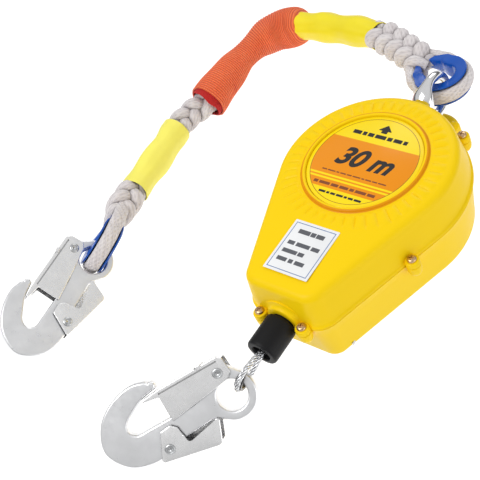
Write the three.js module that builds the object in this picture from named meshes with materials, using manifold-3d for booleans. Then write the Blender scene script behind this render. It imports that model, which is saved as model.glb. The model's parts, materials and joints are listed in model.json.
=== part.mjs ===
// Self retracting lifeline, lying on its back with the anchor lanyard looped out to its left.
// Frame: millimetres, +Z is the label side, +Y runs along the casing to the swivel eye and -Y to
// the cable outlet. The origin is on the flat back face, under the centre of the round label.

import * as THREE from 'three';
import { mergeVertices } from 'three/addons/utils/BufferGeometryUtils.js';
import Module from 'manifold-3d';

const wasm = await Module();
wasm.setup();

// ---------------------------------------------------------------------------------------------
// Driving dimensions
// ---------------------------------------------------------------------------------------------

const GAP = 0.3;

const CASING = {
  roundRadius: 86, endHalfWidth: 44, endY: -150, cornerRadius: 20,
  depth: 90, seamZ: 52, wall: 3, edgeRadius: 7, lipOut: 2.2, lipHalf: 2,
};
const COVER_SCREW = { bossRadius: 6.5, bossTop: 58, bossBottom: 42, offset: 4.8, headRadius: 4.2,
  headHeight: 2.6, shankRadius: 2, shankDepth: 14 };
const LABEL = { radius: 52.8, thickness: 0.8, ringInner: 53.4, ringOuter: 57.6, ringTop: 93 };
const STICKER = { width: 46, height: 54, thickness: 0.4, centreY: -103 };

const DRUM = { y: -14, flangeRadius: 75.5, flange: 2.5, hubRadius: 24, back: 21, front: 71 };
const COIL_RADIUS = 72.5;
const SHAFT = { radius: 8, back: 3.6, front: 86 };
const FRAME = { backZ: 4, frontZ: 82.4, thickness: 3, radius: 68, topY: 76, bottomY: -128 };
const BUSH = { wall: 2.6, flangeRadius: 13.5, flange: 1 };
const SPRING = { caseRadius: 62, caseBack: 7.4, caseFront: 20.4, sheet: 1.5, strip: 0.9, turns: 5 };

const RATCHET = { teeth: 12, tipRadius: 47, rootRadius: 54, outerRadius: 65, back: 75.9, front: 79.5 };
const PAWL = { pivotRadius: 36, reach: 24, lean: 2, halfWidth: 3.4, eyeRadius: 5.6, pinRadius: 2.5 };
const CLAMP = { outerRadius: 71.5, wallInner: 66.4, innerRadius: 56, back: 71.8, sheet: 2 };

const WIRE = { radius: 2.5, z: 52, coilEndY: -91, loopY: -212, loopRadius: 12.5, spliceTop: 42 };
const GUIDE = { radius: 9, top: -125, throat: -129, bottom: -137, flare: 4, bore: 3.2 };
const STOPPER = { radius: 14.5, top: -155.4, bottom: -188, cavityTop: -165 };
const OUTLET = { collarRadius: 17, collarY: -153, bushRadius: 10.2, bushEndY: -155 };

const SWIVEL = { z: 60, ringRadius: 20, ringTube: 4.8, ringY: 112, stemRadius: 8, stemFootY: 62.5 };
const HOOD = { halfWidth: 21, topY: 120, back: 4, front: 25 };

const ROPE = { loopRadius: 24, strand: 7.2, trunk: 14.5, plain: 12 };
const SLEEVE = { outer: 17, wall: 1.6 };
const ABSORBER = { outer: 19.2, wall: 2, core: 14 };
const THIMBLE = { wall: 2.5, flange: 1.8, flangeHeight: 6 };

const HOOK = { eyeHole: 13.3, eyeOuter: 20.3, halfThickness: 5.5, sheet: 1.3,
  gateClear: 0.4, leverClear: 2.1 };

// ---------------------------------------------------------------------------------------------
// Solid helpers
// ---------------------------------------------------------------------------------------------

/** Turns a closed three.js geometry into a manifold solid, merging its shared corners. */
function solid(geometry, matrix) {
  const bare = geometry.clone();
  bare.deleteAttribute('normal');
  bare.deleteAttribute('uv');
  if (matrix) bare.applyMatrix4(matrix);
  const merged = mergeVertices(bare, 1e-4);
  const index = merged.index;
  const triVerts = Uint32Array.from(index.array);
  const vertProperties = Float32Array.from(merged.attributes.position.array);
  return new wasm.Manifold(new wasm.Mesh({ numProp: 3, vertProperties, triVerts }));
}

/** Turns a manifold solid back into a three.js geometry. */
function toGeometry(manifold) {
  const mesh = manifold.getMesh();
  const geometry = new THREE.BufferGeometry();
  geometry.setAttribute('position', new THREE.BufferAttribute(Float32Array.from(mesh.vertProperties), 3));
  geometry.setIndex(new THREE.BufferAttribute(Uint32Array.from(mesh.triVerts), 1));
  geometry.computeVertexNormals();
  return geometry;
}

const unite = (...parts) => parts.reduce((sum, part) => sum.add(part));
const carve = (base, ...tools) => tools.reduce((rest, tool) => rest.subtract(tool), base);
const move = (x, y, z) => new THREE.Matrix4().makeTranslation(x, y, z);

/** Points along a circular arc in the plane, angles in radians. */
function arc(cx, cy, radius, from, to, steps) {
  return Array.from({ length: steps + 1 }, (_, i) => {
    const angle = from + ((to - from) * i) / steps;
    return new THREE.Vector2(cx + radius * Math.cos(angle), cy + radius * Math.sin(angle));
  });
}

/** A flat plate: a closed outline with optional holes, from z0 to z1. */
function plate(outline, z0, z1, holes = []) {
  const shape = new THREE.Shape(outline);
  shape.holes = holes.map((hole) => new THREE.Path(hole));
  const geometry = new THREE.ExtrudeGeometry(shape, { depth: z1 - z0, bevelEnabled: false });
  return geometry.translate(0, 0, z0);
}

const circle = (cx, cy, radius, steps = 24) => arc(cx, cy, radius, 0, 2 * Math.PI, steps).slice(0, -1);

/** A round bar along +Z from z0 to z1. */
const rod = (x, y, radius, z0, z1, steps = 24) => plate(circle(x, y, radius, steps), z0, z1);

/** A solid of revolution about +Z from [radius, height] pairs: a closed loop or axis to axis. */
function turned(profile, steps = 36) {
  const points = profile.map(([radius, height]) => new THREE.Vector2(radius, height));
  if (THREE.ShapeUtils.area(points) < 0) points.reverse();
  return new THREE.LatheGeometry(points, steps).rotateX(Math.PI / 2);
}

/** A turned ring with a rectangular section. */
function ring(inner, outer, z0, z1, steps = 36) {
  return turned([[inner, z0], [outer, z0], [outer, z1], [inner, z1], [inner, z0]], steps);
}

/** Rotation that takes the +Z axis of a turned piece to the +Y axis. */
const alongY = new THREE.Matrix4().makeRotationX(-Math.PI / 2);

/** A bar of any section swept along a smooth curve through the given points. */
function sweep(points, section, steps, holes = []) {
  const shape = new THREE.Shape(section);
  shape.holes = holes.map((hole) => new THREE.Path(hole));
  const path = new THREE.CatmullRomCurve3(points, false, 'centripetal');
  return new THREE.ExtrudeGeometry(shape, { steps, extrudePath: path });
}

const vec = (x, y, z) => new THREE.Vector3(x, y, z);

// ---------------------------------------------------------------------------------------------
// Materials and the named mesh
// ---------------------------------------------------------------------------------------------

const finish = (color, roughness, metalness) => ({ color, roughness, metalness });
const YELLOW = finish(0xf6d412, 0.42, 0);
const LABEL_INK = finish(0xf39a1c, 0.4, 0);
const WHITE = finish(0xf4f4f2, 0.6, 0);
const BRASS = finish(0xb58a4a, 0.35, 1);
const STEEL = finish(0xb9bcc0, 0.35, 1);
const DARK_STEEL = finish(0x6d7074, 0.45, 1);
const ALUMINIUM = finish(0xc9cbce, 0.3, 1);
const NYLON = finish(0xe8e6df, 0.5, 0);
const RUBBER = finish(0x141414, 0.6, 0);
const BLUE = finish(0x1f5fb8, 0.4, 0);
const ROPE_FIBRE = finish(0xcfcbc8, 0.9, 0);
const SHRINK = finish(0xf2e23c, 0.5, 0);
const ORANGE = finish(0xf2603a, 0.85, 0);
const LINING = finish(0x7a6a55, 0.85, 0);

const assembly = new THREE.Group();

/** Adds one named piece to a group; takes a three.js geometry or a manifold solid. */
function piece(name, shape, look, parent = assembly) {
  const geometry = shape.isBufferGeometry ? shape : toGeometry(shape);
  const mesh = new THREE.Mesh(geometry, new THREE.MeshStandardMaterial(look));
  mesh.name = name;
  parent.add(mesh);
  return mesh;
}

// ---------------------------------------------------------------------------------------------
// Casing: front and back covers that meet at a raised lip
// ---------------------------------------------------------------------------------------------

const cornerX = CASING.endHalfWidth - CASING.cornerRadius;
const cornerY = CASING.endY + CASING.cornerRadius;
const flankNormal = Math.atan2(cornerY, cornerX)
  + Math.acos((CASING.roundRadius - CASING.cornerRadius) / Math.hypot(cornerX, cornerY));

/** Teardrop outline of the casing, grown outward by the given amount. */
function teardrop(grow) {
  const corner = CASING.cornerRadius + grow;
  return [
    ...arc(0, 0, CASING.roundRadius + grow, flankNormal, Math.PI - flankNormal, 32),
    ...arc(-cornerX, cornerY, corner, Math.PI - flankNormal, 1.5 * Math.PI, 5),
    ...arc(cornerX, cornerY, corner, -0.5 * Math.PI, flankNormal, 5),
  ];
}

/** A point on the straight right flank, share 0 at the top and 1 at the bottom, moved outward. */
function flankPoint(share, out) {
  const normal = new THREE.Vector2(Math.cos(flankNormal), Math.sin(flankNormal));
  const top = normal.clone().multiplyScalar(CASING.roundRadius);
  const bottom = new THREE.Vector2(cornerX, cornerY).addScaledVector(normal, CASING.cornerRadius);
  return top.lerp(bottom, share).addScaledVector(normal, out);
}

function casingOuter() {
  const shape = new THREE.Shape(teardrop(0));
  const edge = CASING.edgeRadius;
  const geometry = new THREE.ExtrudeGeometry(shape, {
    depth: CASING.depth - 2 * edge, bevelThickness: edge, bevelSize: edge, bevelOffset: -edge,
    bevelSegments: 2,
  });
  return solid(geometry, move(0, 0, edge));
}

const shoulderAngle = THREE.MathUtils.degToRad(58.5);
const shoulderRadius = CASING.roundRadius + COVER_SCREW.offset;
const flankScrew = flankPoint(0.28, COVER_SCREW.offset);
const screwPlaces = [
  [22.5, CASING.endY - COVER_SCREW.offset],
  [flankScrew.x, flankScrew.y],
  [shoulderRadius * Math.cos(shoulderAngle), shoulderRadius * Math.sin(shoulderAngle)],
].flatMap(([x, y]) => [[x, y], [-x, y]]);

function hood() {
  const { halfWidth, topY, back, front } = HOOD;
  const outline = [
    ...arc(0, topY - halfWidth, halfWidth, 0, Math.PI, 12),
    new THREE.Vector2(-halfWidth - 6, 74),
    new THREE.Vector2(halfWidth + 6, 74),
  ];
  return solid(plate(outline, back, front));
}

function buildCovers() {
  const { seamZ, wall, depth, lipOut, lipHalf } = CASING;
  const halfGap = GAP / 2;
  const far = 400;
  const bosses = screwPlaces.map(([x, y]) => solid(
    rod(x, y, COVER_SCREW.bossRadius, COVER_SCREW.bossBottom, COVER_SCREW.bossTop, 18)));
  const lip = solid(plate(teardrop(lipOut), seamZ - lipHalf, seamZ + lipHalf));
  const collar = solid(rod(0, 0, OUTLET.collarRadius, 0, 7),
    move(0, OUTLET.collarY, WIRE.z).multiply(alongY));
  const cavity = solid(plate(teardrop(-wall), wall, depth - wall));
  const labelRing = solid(ring(LABEL.ringInner, LABEL.ringOuter, depth - 1, LABEL.ringTop, 40));
  const shell = unite(casingOuter(), lip, collar, labelRing, hood(), ...bosses);

  const outletBore = solid(rod(0, 0, OUTLET.bushRadius + GAP, -20, 20),
    move(0, CASING.endY, WIRE.z).multiply(alongY));
  const swivelBore = solid(rod(0, 0, SWIVEL.stemRadius + 4.5, 0, 30),
    move(0, 75, SWIVEL.z).multiply(alongY));
  const swivelSlot = solid(new THREE.BoxGeometry(2 * SWIVEL.stemRadius + 9, 30, SWIVEL.z - seamZ),
    move(0, 90, (SWIVEL.z + seamZ) / 2));
  const screwBores = screwPlaces.map(([x, y]) => solid(rod(x, y, COVER_SCREW.shankRadius + GAP,
    COVER_SCREW.bossTop - COVER_SCREW.shankDepth - GAP, COVER_SCREW.bossTop + 1, 14)));
  const hollow = carve(shell, cavity, outletBore, swivelBore, swivelSlot, ...screwBores);

  const behindSeam = solid(new THREE.BoxGeometry(far, far, far),
    move(0, 0, seamZ + halfGap - far / 2));
  const beforeSeam = solid(new THREE.BoxGeometry(far, far, far),
    move(0, 0, seamZ - halfGap + far / 2));
  piece('front_cover', carve(hollow, behindSeam), YELLOW);
  piece('back_cover', carve(hollow, beforeSeam), YELLOW);
}

function buildLabels() {
  const face = CASING.depth + GAP;
  piece('round_label', rod(0, 0, LABEL.radius, face, face + LABEL.thickness, 40), LABEL_INK);
  const sticker = new THREE.BoxGeometry(STICKER.width, STICKER.height, STICKER.thickness);
  const mesh = piece('inspection_sticker', sticker, WHITE);
  mesh.position.set(0, STICKER.centreY, face + STICKER.thickness / 2);
}

function buildCoverScrews() {
  const { headRadius, headHeight, shankRadius, shankDepth, bossTop } = COVER_SCREW;
  const seat = bossTop + GAP;
  const profile = [[0, seat - shankDepth], [shankRadius, seat - shankDepth], [shankRadius, seat],
    [headRadius, seat], [headRadius * 0.86, seat + headHeight * 0.8], [0, seat + headHeight]];
  screwPlaces.forEach(([x, y], i) => {
    const mesh = piece(`cover_screw_${i + 1}`, turned(profile, 14), BRASS);
    mesh.position.set(x, y, 0);
  });
}

// ---------------------------------------------------------------------------------------------
// Frame: two steel plates joined by posts and by the swivel bracket
// ---------------------------------------------------------------------------------------------

const bracketHalfWidth = 15;
const bracket = { y0: 68.6, y1: 75.6 };
const postPlaces = [[-34, -119], [34, -119]];
const postRadius = 4.5;

function framePlate(z) {
  const topAngle = Math.acos((bracketHalfWidth + 3) / FRAME.radius);
  const outline = [
    ...arc(0, DRUM.y, FRAME.radius, -1.0, topAngle, 14),
    new THREE.Vector2(bracketHalfWidth + 3, FRAME.topY),
    new THREE.Vector2(-bracketHalfWidth - 3, FRAME.topY),
    ...arc(0, DRUM.y, FRAME.radius, Math.PI - topAngle, Math.PI + 1.0, 14),
    new THREE.Vector2(-41, FRAME.bottomY),
    new THREE.Vector2(41, FRAME.bottomY),
  ];
  const holes = [circle(0, DRUM.y, SHAFT.radius + BUSH.wall + GAP, 28)];
  return plate(outline, z, z + FRAME.thickness, holes);
}

function buildFrame() {
  const inner0 = FRAME.backZ + FRAME.thickness + GAP;
  const inner1 = FRAME.frontZ - GAP;
  piece('frame_plate_back', framePlate(FRAME.backZ), STEEL);
  piece('frame_plate_front', framePlate(FRAME.frontZ), STEEL);
  postPlaces.forEach(([x, y], i) => {
    piece(`frame_post_${i + 1}`, rod(x, y, postRadius, inner0, inner1, 18), STEEL);
  });
  const bar = new THREE.BoxGeometry(2 * bracketHalfWidth, bracket.y1 - bracket.y0, inner1 - inner0);
  const block = solid(bar, move(0, (bracket.y0 + bracket.y1) / 2, (inner0 + inner1) / 2));
  const bore = solid(rod(0, 0, SWIVEL.stemRadius + GAP, 0, 20),
    move(0, bracket.y0 - 5, SWIVEL.z).multiply(alongY));
  piece('swivel_bracket', carve(block, bore), STEEL);
}

function buildBushes() {
  const bore = SHAFT.radius + GAP;
  const body = SHAFT.radius + BUSH.wall;
  const { flangeRadius, flange } = BUSH;
  const frontFace = FRAME.frontZ - GAP;
  const front = [[bore, frontFace - flange], [flangeRadius, frontFace - flange],
    [flangeRadius, frontFace], [body, frontFace], [body, FRAME.frontZ + FRAME.thickness],
    [bore, FRAME.frontZ + FRAME.thickness], [bore, frontFace - flange]];
  const backFace = FRAME.backZ - GAP;
  const back = [[bore, backFace], [body, backFace], [body, FRAME.backZ + FRAME.thickness],
    [bore, FRAME.backZ + FRAME.thickness], [bore, backFace]];
  piece('shaft_bush_back', turned(back, 28), BRASS).position.y = DRUM.y;
  piece('shaft_bush_front', turned(front, 28), BRASS).position.y = DRUM.y;
}

// ---------------------------------------------------------------------------------------------
// Power spring in its case
// ---------------------------------------------------------------------------------------------

function spiralOutline(innerRadius, outerRadius, turns, thickness, stepsPerTurn) {
  const count = Math.round(turns * stepsPerTurn);
  const at = (i, extra) => {
    const angle = (2 * Math.PI * i) / stepsPerTurn;
    const radius = innerRadius + ((outerRadius - innerRadius) * i) / count + extra;
    return new THREE.Vector2(radius * Math.cos(angle), radius * Math.sin(angle));
  };
  const inside = Array.from({ length: count + 1 }, (_, i) => at(i, 0));
  const outside = Array.from({ length: count + 1 }, (_, i) => at(i, thickness));
  return [...inside, ...outside.reverse()];
}

function buildSpring() {
  const { caseRadius, caseBack, caseFront, sheet, strip, turns } = SPRING;
  const eye = SHAFT.radius + 1.2;
  const lidBack = caseFront - sheet;
  const cup = [[eye, caseBack], [caseRadius, caseBack], [caseRadius, lidBack - GAP],
    [caseRadius - sheet, lidBack - GAP], [caseRadius - sheet, caseBack + sheet],
    [eye, caseBack + sheet], [eye, caseBack]];
  piece('spring_case', turned(cup), STEEL).position.y = DRUM.y;
  piece('spring_case_lid', ring(eye, caseRadius, lidBack, caseFront), STEEL).position.y = DRUM.y;
  const outline = spiralOutline(eye + 0.6, caseRadius - sheet - strip - 0.6, turns, strip, 18);
  const coil = plate(outline, caseBack + sheet + GAP, lidBack - 2 * GAP);
  piece('power_spring', coil, DARK_STEEL).position.y = DRUM.y;
}

// ---------------------------------------------------------------------------------------------
// Drum, shaft, stored wire rope and pawls
// ---------------------------------------------------------------------------------------------

const pawlTurns = [0, Math.PI];
const pawlFloor = RATCHET.back;

function buildDrum() {
  const { flangeRadius, flange, hubRadius, back, front, y } = DRUM;
  const bore = SHAFT.radius + GAP;
  const profile = [[bore, back], [flangeRadius, back], [flangeRadius, back + flange],
    [hubRadius, back + flange], [hubRadius, front - flange], [flangeRadius, front - flange],
    [flangeRadius, front], [bore, front], [bore, back]];
  const pinBores = pawlTurns.map((turn) => solid(rod(PAWL.pivotRadius * Math.cos(turn),
    PAWL.pivotRadius * Math.sin(turn), PAWL.pinRadius + GAP, front - 5, front + 5, 14)));
  piece('rope_drum', carve(solid(turned(profile)), ...pinBores), ALUMINIUM).position.y = y;
  piece('main_shaft', rod(0, y, SHAFT.radius, SHAFT.back, SHAFT.front, 28), DARK_STEEL);

  const coil = ring(hubRadius + GAP, COIL_RADIUS, back + flange + GAP, front - flange - GAP);
  piece('wire_rope_coil', coil, STEEL).position.y = y;
}

function buildPawls() {
  const { pivotRadius, reach, lean, halfWidth, eyeRadius, pinRadius } = PAWL;
  const outline = [
    ...arc(0, 0, eyeRadius, 0, Math.PI, 10),
    new THREE.Vector2(-halfWidth - lean, 1.4 - reach),
    new THREE.Vector2(halfWidth - lean - 1.2, -1.4 - reach),
    new THREE.Vector2(halfWidth - lean + 0.4, 1 - reach),
  ];
  const pin = [[0, DRUM.front - 2.2], [pinRadius, DRUM.front - 2.2], [pinRadius, DRUM.front + GAP],
    [4.4, DRUM.front + GAP], [4.4, pawlFloor - GAP], [pinRadius, pawlFloor - GAP],
    [pinRadius, RATCHET.front + 0.8], [0, RATCHET.front + 0.8]];
  pawlTurns.forEach((turn, i) => {
    const place = new THREE.Group();
    place.position.set(pivotRadius * Math.cos(turn), DRUM.y + pivotRadius * Math.sin(turn), 0);
    place.rotation.z = turn;
    assembly.add(place);
    const bore = circle(0, 0, pinRadius + GAP, 14);
    piece(`pawl_${i + 1}`, plate(outline, pawlFloor, RATCHET.front, [bore]), DARK_STEEL, place);
    piece(`pawl_pin_${i + 1}`, turned(pin, 14), STEEL, place);
  });
}

// ---------------------------------------------------------------------------------------------
// Ratchet ring held between friction linings
// ---------------------------------------------------------------------------------------------

function buildBrake() {
  const { teeth, tipRadius, rootRadius, outerRadius, back, front } = RATCHET;
  const pitch = (2 * Math.PI) / teeth;
  const first = THREE.MathUtils.degToRad(-28);
  const inside = [];
  for (let i = 0; i < teeth; i += 1) {
    const centre = first + i * pitch;
    inside.push(...arc(0, 0, rootRadius, centre - 0.32 * pitch, centre + 0.32 * pitch, 3));
    inside.push(...arc(0, 0, tipRadius, centre + 0.38 * pitch, centre + 0.6 * pitch, 2));
  }
  piece('ratchet_ring', plate(circle(0, 0, outerRadius, 36), back, front, [inside]), DARK_STEEL)
    .position.y = DRUM.y;

  const { wallInner, innerRadius, sheet } = CLAMP;
  const clampFront = FRAME.frontZ - GAP;
  const clamp = [[innerRadius, CLAMP.back], [CLAMP.outerRadius, CLAMP.back],
    [CLAMP.outerRadius, clampFront], [wallInner, clampFront], [wallInner, CLAMP.back + sheet],
    [innerRadius, CLAMP.back + sheet], [innerRadius, CLAMP.back]];
  piece('brake_clamp_ring', turned(clamp), STEEL).position.y = DRUM.y;
  const innerLining = ring(innerRadius, outerRadius, CLAMP.back + sheet + GAP, back - GAP);
  const outerLining = ring(innerRadius, outerRadius, front + GAP, FRAME.frontZ - GAP);
  piece('brake_lining_inner', innerLining, LINING).position.y = DRUM.y;
  piece('brake_lining_outer', outerLining, LINING).position.y = DRUM.y;
}

// ---------------------------------------------------------------------------------------------
// Wire rope run: lead inside the casing, guide, outlet bush, line with its eye, stopper
// ---------------------------------------------------------------------------------------------

const wireSection = circle(0, 0, WIRE.radius, 8);

function buildRopeRun() {
  const coilRun = COIL_RADIUS + WIRE.radius + 0.9;
  const drop = DRUM.y - (GUIDE.throat - 1);
  const away = Math.acos(coilRun / drop);
  const leave = new THREE.Vector2(coilRun * Math.sin(away), DRUM.y - coilRun * Math.cos(away));
  const target = new THREE.Vector2(0, GUIDE.throat - 1);
  const nearLine = leave.clone().lerp(target, 0.88);
  const lead = sweep([vec(leave.x, leave.y, 48), vec(nearLine.x, nearLine.y, WIRE.z)], wireSection, 2);
  piece('wire_rope_lead', lead, STEEL);

  const { bore, flare, radius } = GUIDE;
  const guide = [[bore + flare, GUIDE.top], [radius, GUIDE.top], [radius, GUIDE.bottom],
    [bore, GUIDE.bottom], [bore, GUIDE.throat], [bore + flare, GUIDE.top]];
  const bush = [[bore, OUTLET.bushEndY], [OUTLET.bushRadius, OUTLET.bushEndY],
    [OUTLET.bushRadius, -146.4], [13, -146.4], [13, -141], [bore, -141], [bore, OUTLET.bushEndY]];
  const guideMesh = piece('rope_guide', turned(guide, 24).applyMatrix4(alongY), NYLON);
  guideMesh.position.z = WIRE.z;
  const bushMesh = piece('outlet_bush', turned(bush, 28).applyMatrix4(alongY), RUBBER);
  bushMesh.position.z = WIRE.z;
}

/** Right-handed placement from an origin, a main direction and a rough face normal. */
function placement(origin, main, roughNormal) {
  const x = main.clone().normalize();
  const z = roughNormal.clone().addScaledVector(x, -roughNormal.dot(x)).normalize();
  const y = z.clone().cross(x);
  return new THREE.Matrix4().makeBasis(x, y, z).setPosition(origin);
}

/** Centre line of an eye: legs from a far point round a circle at the origin and back. */
function eyeLine(radius, legs) {
  const round = arc(0, 0, radius, THREE.MathUtils.degToRad(62), THREE.MathUtils.degToRad(298), 12);
  const out = legs.map(([x, y]) => vec(x, y, 0));
  const back = legs.map(([x, y]) => vec(x, -y, 0)).reverse();
  return [...out, ...round.map((p) => vec(p.x, p.y, 0)), ...back];
}

/** Channel section for a thimble, on the inner side of the rope or wire it protects. */
function channelSection(strand, wall, flange, height) {
  const inner = strand + GAP;
  const half = inner + flange;
  const v = (x, y) => new THREE.Vector2(x, y);
  return [v(-half, inner - height), v(-half, inner + wall), v(half, inner + wall),
    v(half, inner - height), v(inner, inner - height), v(inner, inner), v(-inner, inner),
    v(-inner, inner - height)];
}

function buildCable(loopNormal) {
  const place = placement(vec(0, WIRE.loopY, WIRE.z), vec(0, 1, 0), loopNormal);
  const legs = [[45, 0.2], [39, 2.4], [30, 2.8], [22, 5], [14, 9.2]];
  const line = eyeLine(WIRE.loopRadius, legs);
  const loop = solid(sweep(line, wireSection, 40), place);
  const straight = solid(rod(0, 0, WIRE.radius, 0, WIRE.coilEndY - WIRE.loopY - WIRE.spliceTop, 16),
    move(0, WIRE.loopY + WIRE.spliceTop, WIRE.z).multiply(alongY));
  piece('wire_rope_line', unite(loop, straight), STEEL);

  const inner = line.slice(legs.length - 1, line.length - legs.length + 1);
  const section = channelSection(WIRE.radius, 1.1, 0.9, 2.2);
  piece('wire_thimble', solid(sweep(inner, section, 20), place), DARK_STEEL);

  const ferrule = ring(5.8, 8.2, STOPPER.bottom + 6, STOPPER.cavityTop - 1.5, 24);
  const stopper = [[WIRE.radius + GAP, STOPPER.top], [STOPPER.radius - 1.5, STOPPER.top],
    [STOPPER.radius, STOPPER.top - 1.5], [STOPPER.radius, STOPPER.bottom + 1.5],
    [STOPPER.radius - 1.5, STOPPER.bottom], [8.6, STOPPER.bottom], [8.6, STOPPER.cavityTop],
    [WIRE.radius + GAP, STOPPER.cavityTop], [WIRE.radius + GAP, STOPPER.top]];
  piece('rope_ferrule', ferrule.applyMatrix4(alongY), ALUMINIUM).position.z = WIRE.z;
  piece('rubber_stopper', turned(stopper, 32).applyMatrix4(alongY), RUBBER).position.z = WIRE.z;
}

// ---------------------------------------------------------------------------------------------
// Swivel eye
// ---------------------------------------------------------------------------------------------

const swivelTop = vec(0, SWIVEL.ringY + SWIVEL.ringRadius, SWIVEL.z);

function buildSwivel() {
  const { z, ringRadius, ringTube, ringY, stemRadius, stemFootY } = SWIVEL;
  const torus = new THREE.TorusGeometry(ringRadius, ringTube, 10, 26);
  const eye = solid(torus, move(0, ringY, z).multiply(new THREE.Matrix4().makeRotationY(Math.PI / 2)));
  const bossEnd = ringY - ringRadius + 2;
  const stem = [[0, stemFootY], [stemRadius, stemFootY], [stemRadius, 80], [11, 80],
    [11.4, bossEnd - 3], [8, bossEnd], [0, bossEnd]];
  const shank = solid(turned(stem, 28), move(0, 0, z).multiply(alongY));
  piece('swivel_eye', unite(eye, shank), STEEL);

  const nutFront = bracket.y0 - GAP;
  const nut = solid(plate(circle(0, 0, 13, 6), stemFootY + 0.6, nutFront), alongY);
  const bore = solid(rod(0, 0, stemRadius + GAP, 0, 100), alongY);
  piece('swivel_nut', carve(nut, bore), STEEL).position.z = z;
}

// ---------------------------------------------------------------------------------------------
// Anchor lanyard: rope eyes on thimbles, shrink sleeves and the energy absorber
// ---------------------------------------------------------------------------------------------

const upperDirection = vec(-0.87, 0.48, -0.1).normalize();
const upperEye = placement(swivelTop.clone().addScaledVector(upperDirection, 4.1),
  upperDirection, vec(0, 0, 1));
const upperBend = vec(-236, 198, 25);

const anchorEyeCentre = vec(-246, -160, 31);
const anchorAxis = vec(-0.1, 0.995, 0).normalize();
const lowerDirection = vec(-0.36, 0.92, -0.13).normalize();

const ropeLegs = [[64, 4.2], [52, 6.5], [40, 12], [28, 17.4], [20, 20.6]];
const ropeSection = circle(0, 0, ROPE.strand, 10);
const trunkSection = circle(0, 0, ROPE.trunk, 14);

function ropeEye(place) {
  return solid(sweep(eyeLine(ROPE.loopRadius, ropeLegs), ropeSection, 36), place);
}

function thimble(place) {
  const line = eyeLine(ROPE.loopRadius, ropeLegs).slice(2, -2);
  const section = channelSection(ROPE.strand, THIMBLE.wall, THIMBLE.flange, THIMBLE.flangeHeight);
  return solid(sweep(line, section, 28), place);
}

function buildUpperLanyard() {
  const trunkStart = vec(54, 0, 0).applyMatrix4(upperEye);
  const toward = upperBend.clone().sub(vec(-176, 196, 34)).normalize();
  const trunkEnd = upperBend.clone().addScaledVector(toward, -3.6);
  const trunk = [trunkStart, vec(-112, 187, 45), vec(-176, 196, 34), trunkEnd];
  const rope = unite(ropeEye(upperEye), solid(sweep(trunk, trunkSection, 12)));
  piece('thimble_upper', thimble(upperEye), BLUE);
  piece('rope_upper', rope, ROPE_FIBRE);
  const inner = circle(0, 0, SLEEVE.outer - SLEEVE.wall, 14);
  const sleeveCurve = new THREE.CatmullRomCurve3(trunk, false, 'centripetal');
  const sleeveLine = [0.36, 0.52, 0.68, 0.84, 0.975].map((t) => sleeveCurve.getPoint(t));
  const sleeve = sweep(sleeveLine, circle(0, 0, SLEEVE.outer, 14), 8, [inner]);
  piece('shrink_sleeve_upper', sleeve, SHRINK);
}

function buildAbsorber() {
  const line = [vec(-240, 197, 23), vec(-264, 191, 21), vec(-278, 170, 20), vec(-279, 148, 20),
    vec(-276, 113, 20), vec(-273, 76, 20)];
  const curve = new THREE.CatmullRomCurve3(line, false, 'centripetal');
  const inner = circle(0, 0, ABSORBER.outer - ABSORBER.wall, 14);
  const tube = sweep(line, circle(0, 0, ABSORBER.outer, 14), 14, [inner]);
  piece('absorber_sleeve', tube, ORANGE);
  const coreLine = [0.1, 0.25, 0.4, 0.55, 0.7, 0.9].map((t) => curve.getPoint(t));
  piece('absorber_core', sweep(coreLine, circle(0, 0, ABSORBER.core, 10), 10), WHITE);
}

function buildLowerLanyard(place) {
  const eyeStart = vec(54, 0, 0).applyMatrix4(place);
  const plain = vec(-275, 68.4, 18.5);
  const rope = [plain, vec(-284, 48, 18), vec(-285, 28, 18), vec(-281, -6, 18), vec(-278, -46, 18),
    eyeStart];
  const curve = new THREE.CatmullRomCurve3(rope, false, 'centripetal');
  const trunk = solid(sweep(rope, circle(0, 0, ROPE.plain, 12), 18));
  piece('rope_lower', unite(ropeEye(place), trunk), ROPE_FIBRE);
  piece('thimble_lower', thimble(place), BLUE);
  const sleeveLine = [0.27, 0.4, 0.55, 0.7, 0.8].map((t) => curve.getPoint(t));
  const sleeve = sweep(sleeveLine, circle(0, 0, SLEEVE.outer, 14), 6,
    [circle(0, 0, ROPE.plain + 1.2, 14)]);
  piece('shrink_sleeve_lower', sleeve, SHRINK);
}

// ---------------------------------------------------------------------------------------------
// Double-action snap hook, drawn with its eye at the origin and its bowl towards -Y
// ---------------------------------------------------------------------------------------------

const P = (x, y) => new THREE.Vector2(x, y);
const gatePivot = P(-21.8, -1);
const leverPivot = P(13.3, -67.5);

function hookBody() {
  const bowl = new THREE.SplineCurve([P(17, -62), P(18, -88), P(11, -107), P(-9, -119.5),
    P(-31, -111), P(-44, -93), P(-48.5, -72), P(-44.5, -56)]).getPoints(20);
  const eyeSide = arc(0, 0, HOOK.eyeOuter, THREE.MathUtils.degToRad(-32),
    THREE.MathUtils.degToRad(128), 12);
  const outline = [
    ...eyeSide,
    P(-21, 9), P(-28, 4), P(-29, -5), P(-24, -14), P(-13, -21),
    P(-9, -30), P(-9.2, -86),
    ...arc(-15.5, -86, 6.3, 0, -0.8 * Math.PI, 6),
    P(-28, -80), P(-33.4, -69), P(-36, -55), P(-39, -53), P(-44.5, -56),
    ...bowl.slice(0, -1).reverse(),
    P(11.5, -52), P(11, -36), P(9.5, -24),
  ];
  const eyeHole = circle(0, 0, HOOK.eyeHole, 24).reverse();
  const gateHole = circle(gatePivot.x, gatePivot.y, 3.3, 12).reverse();
  const leverHole = circle(leverPivot.x, leverPivot.y, 3.3, 12).reverse();
  return plate(outline, -HOOK.halfThickness, HOOK.halfThickness, [eyeHole, gateHole, leverHole]);
}

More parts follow.
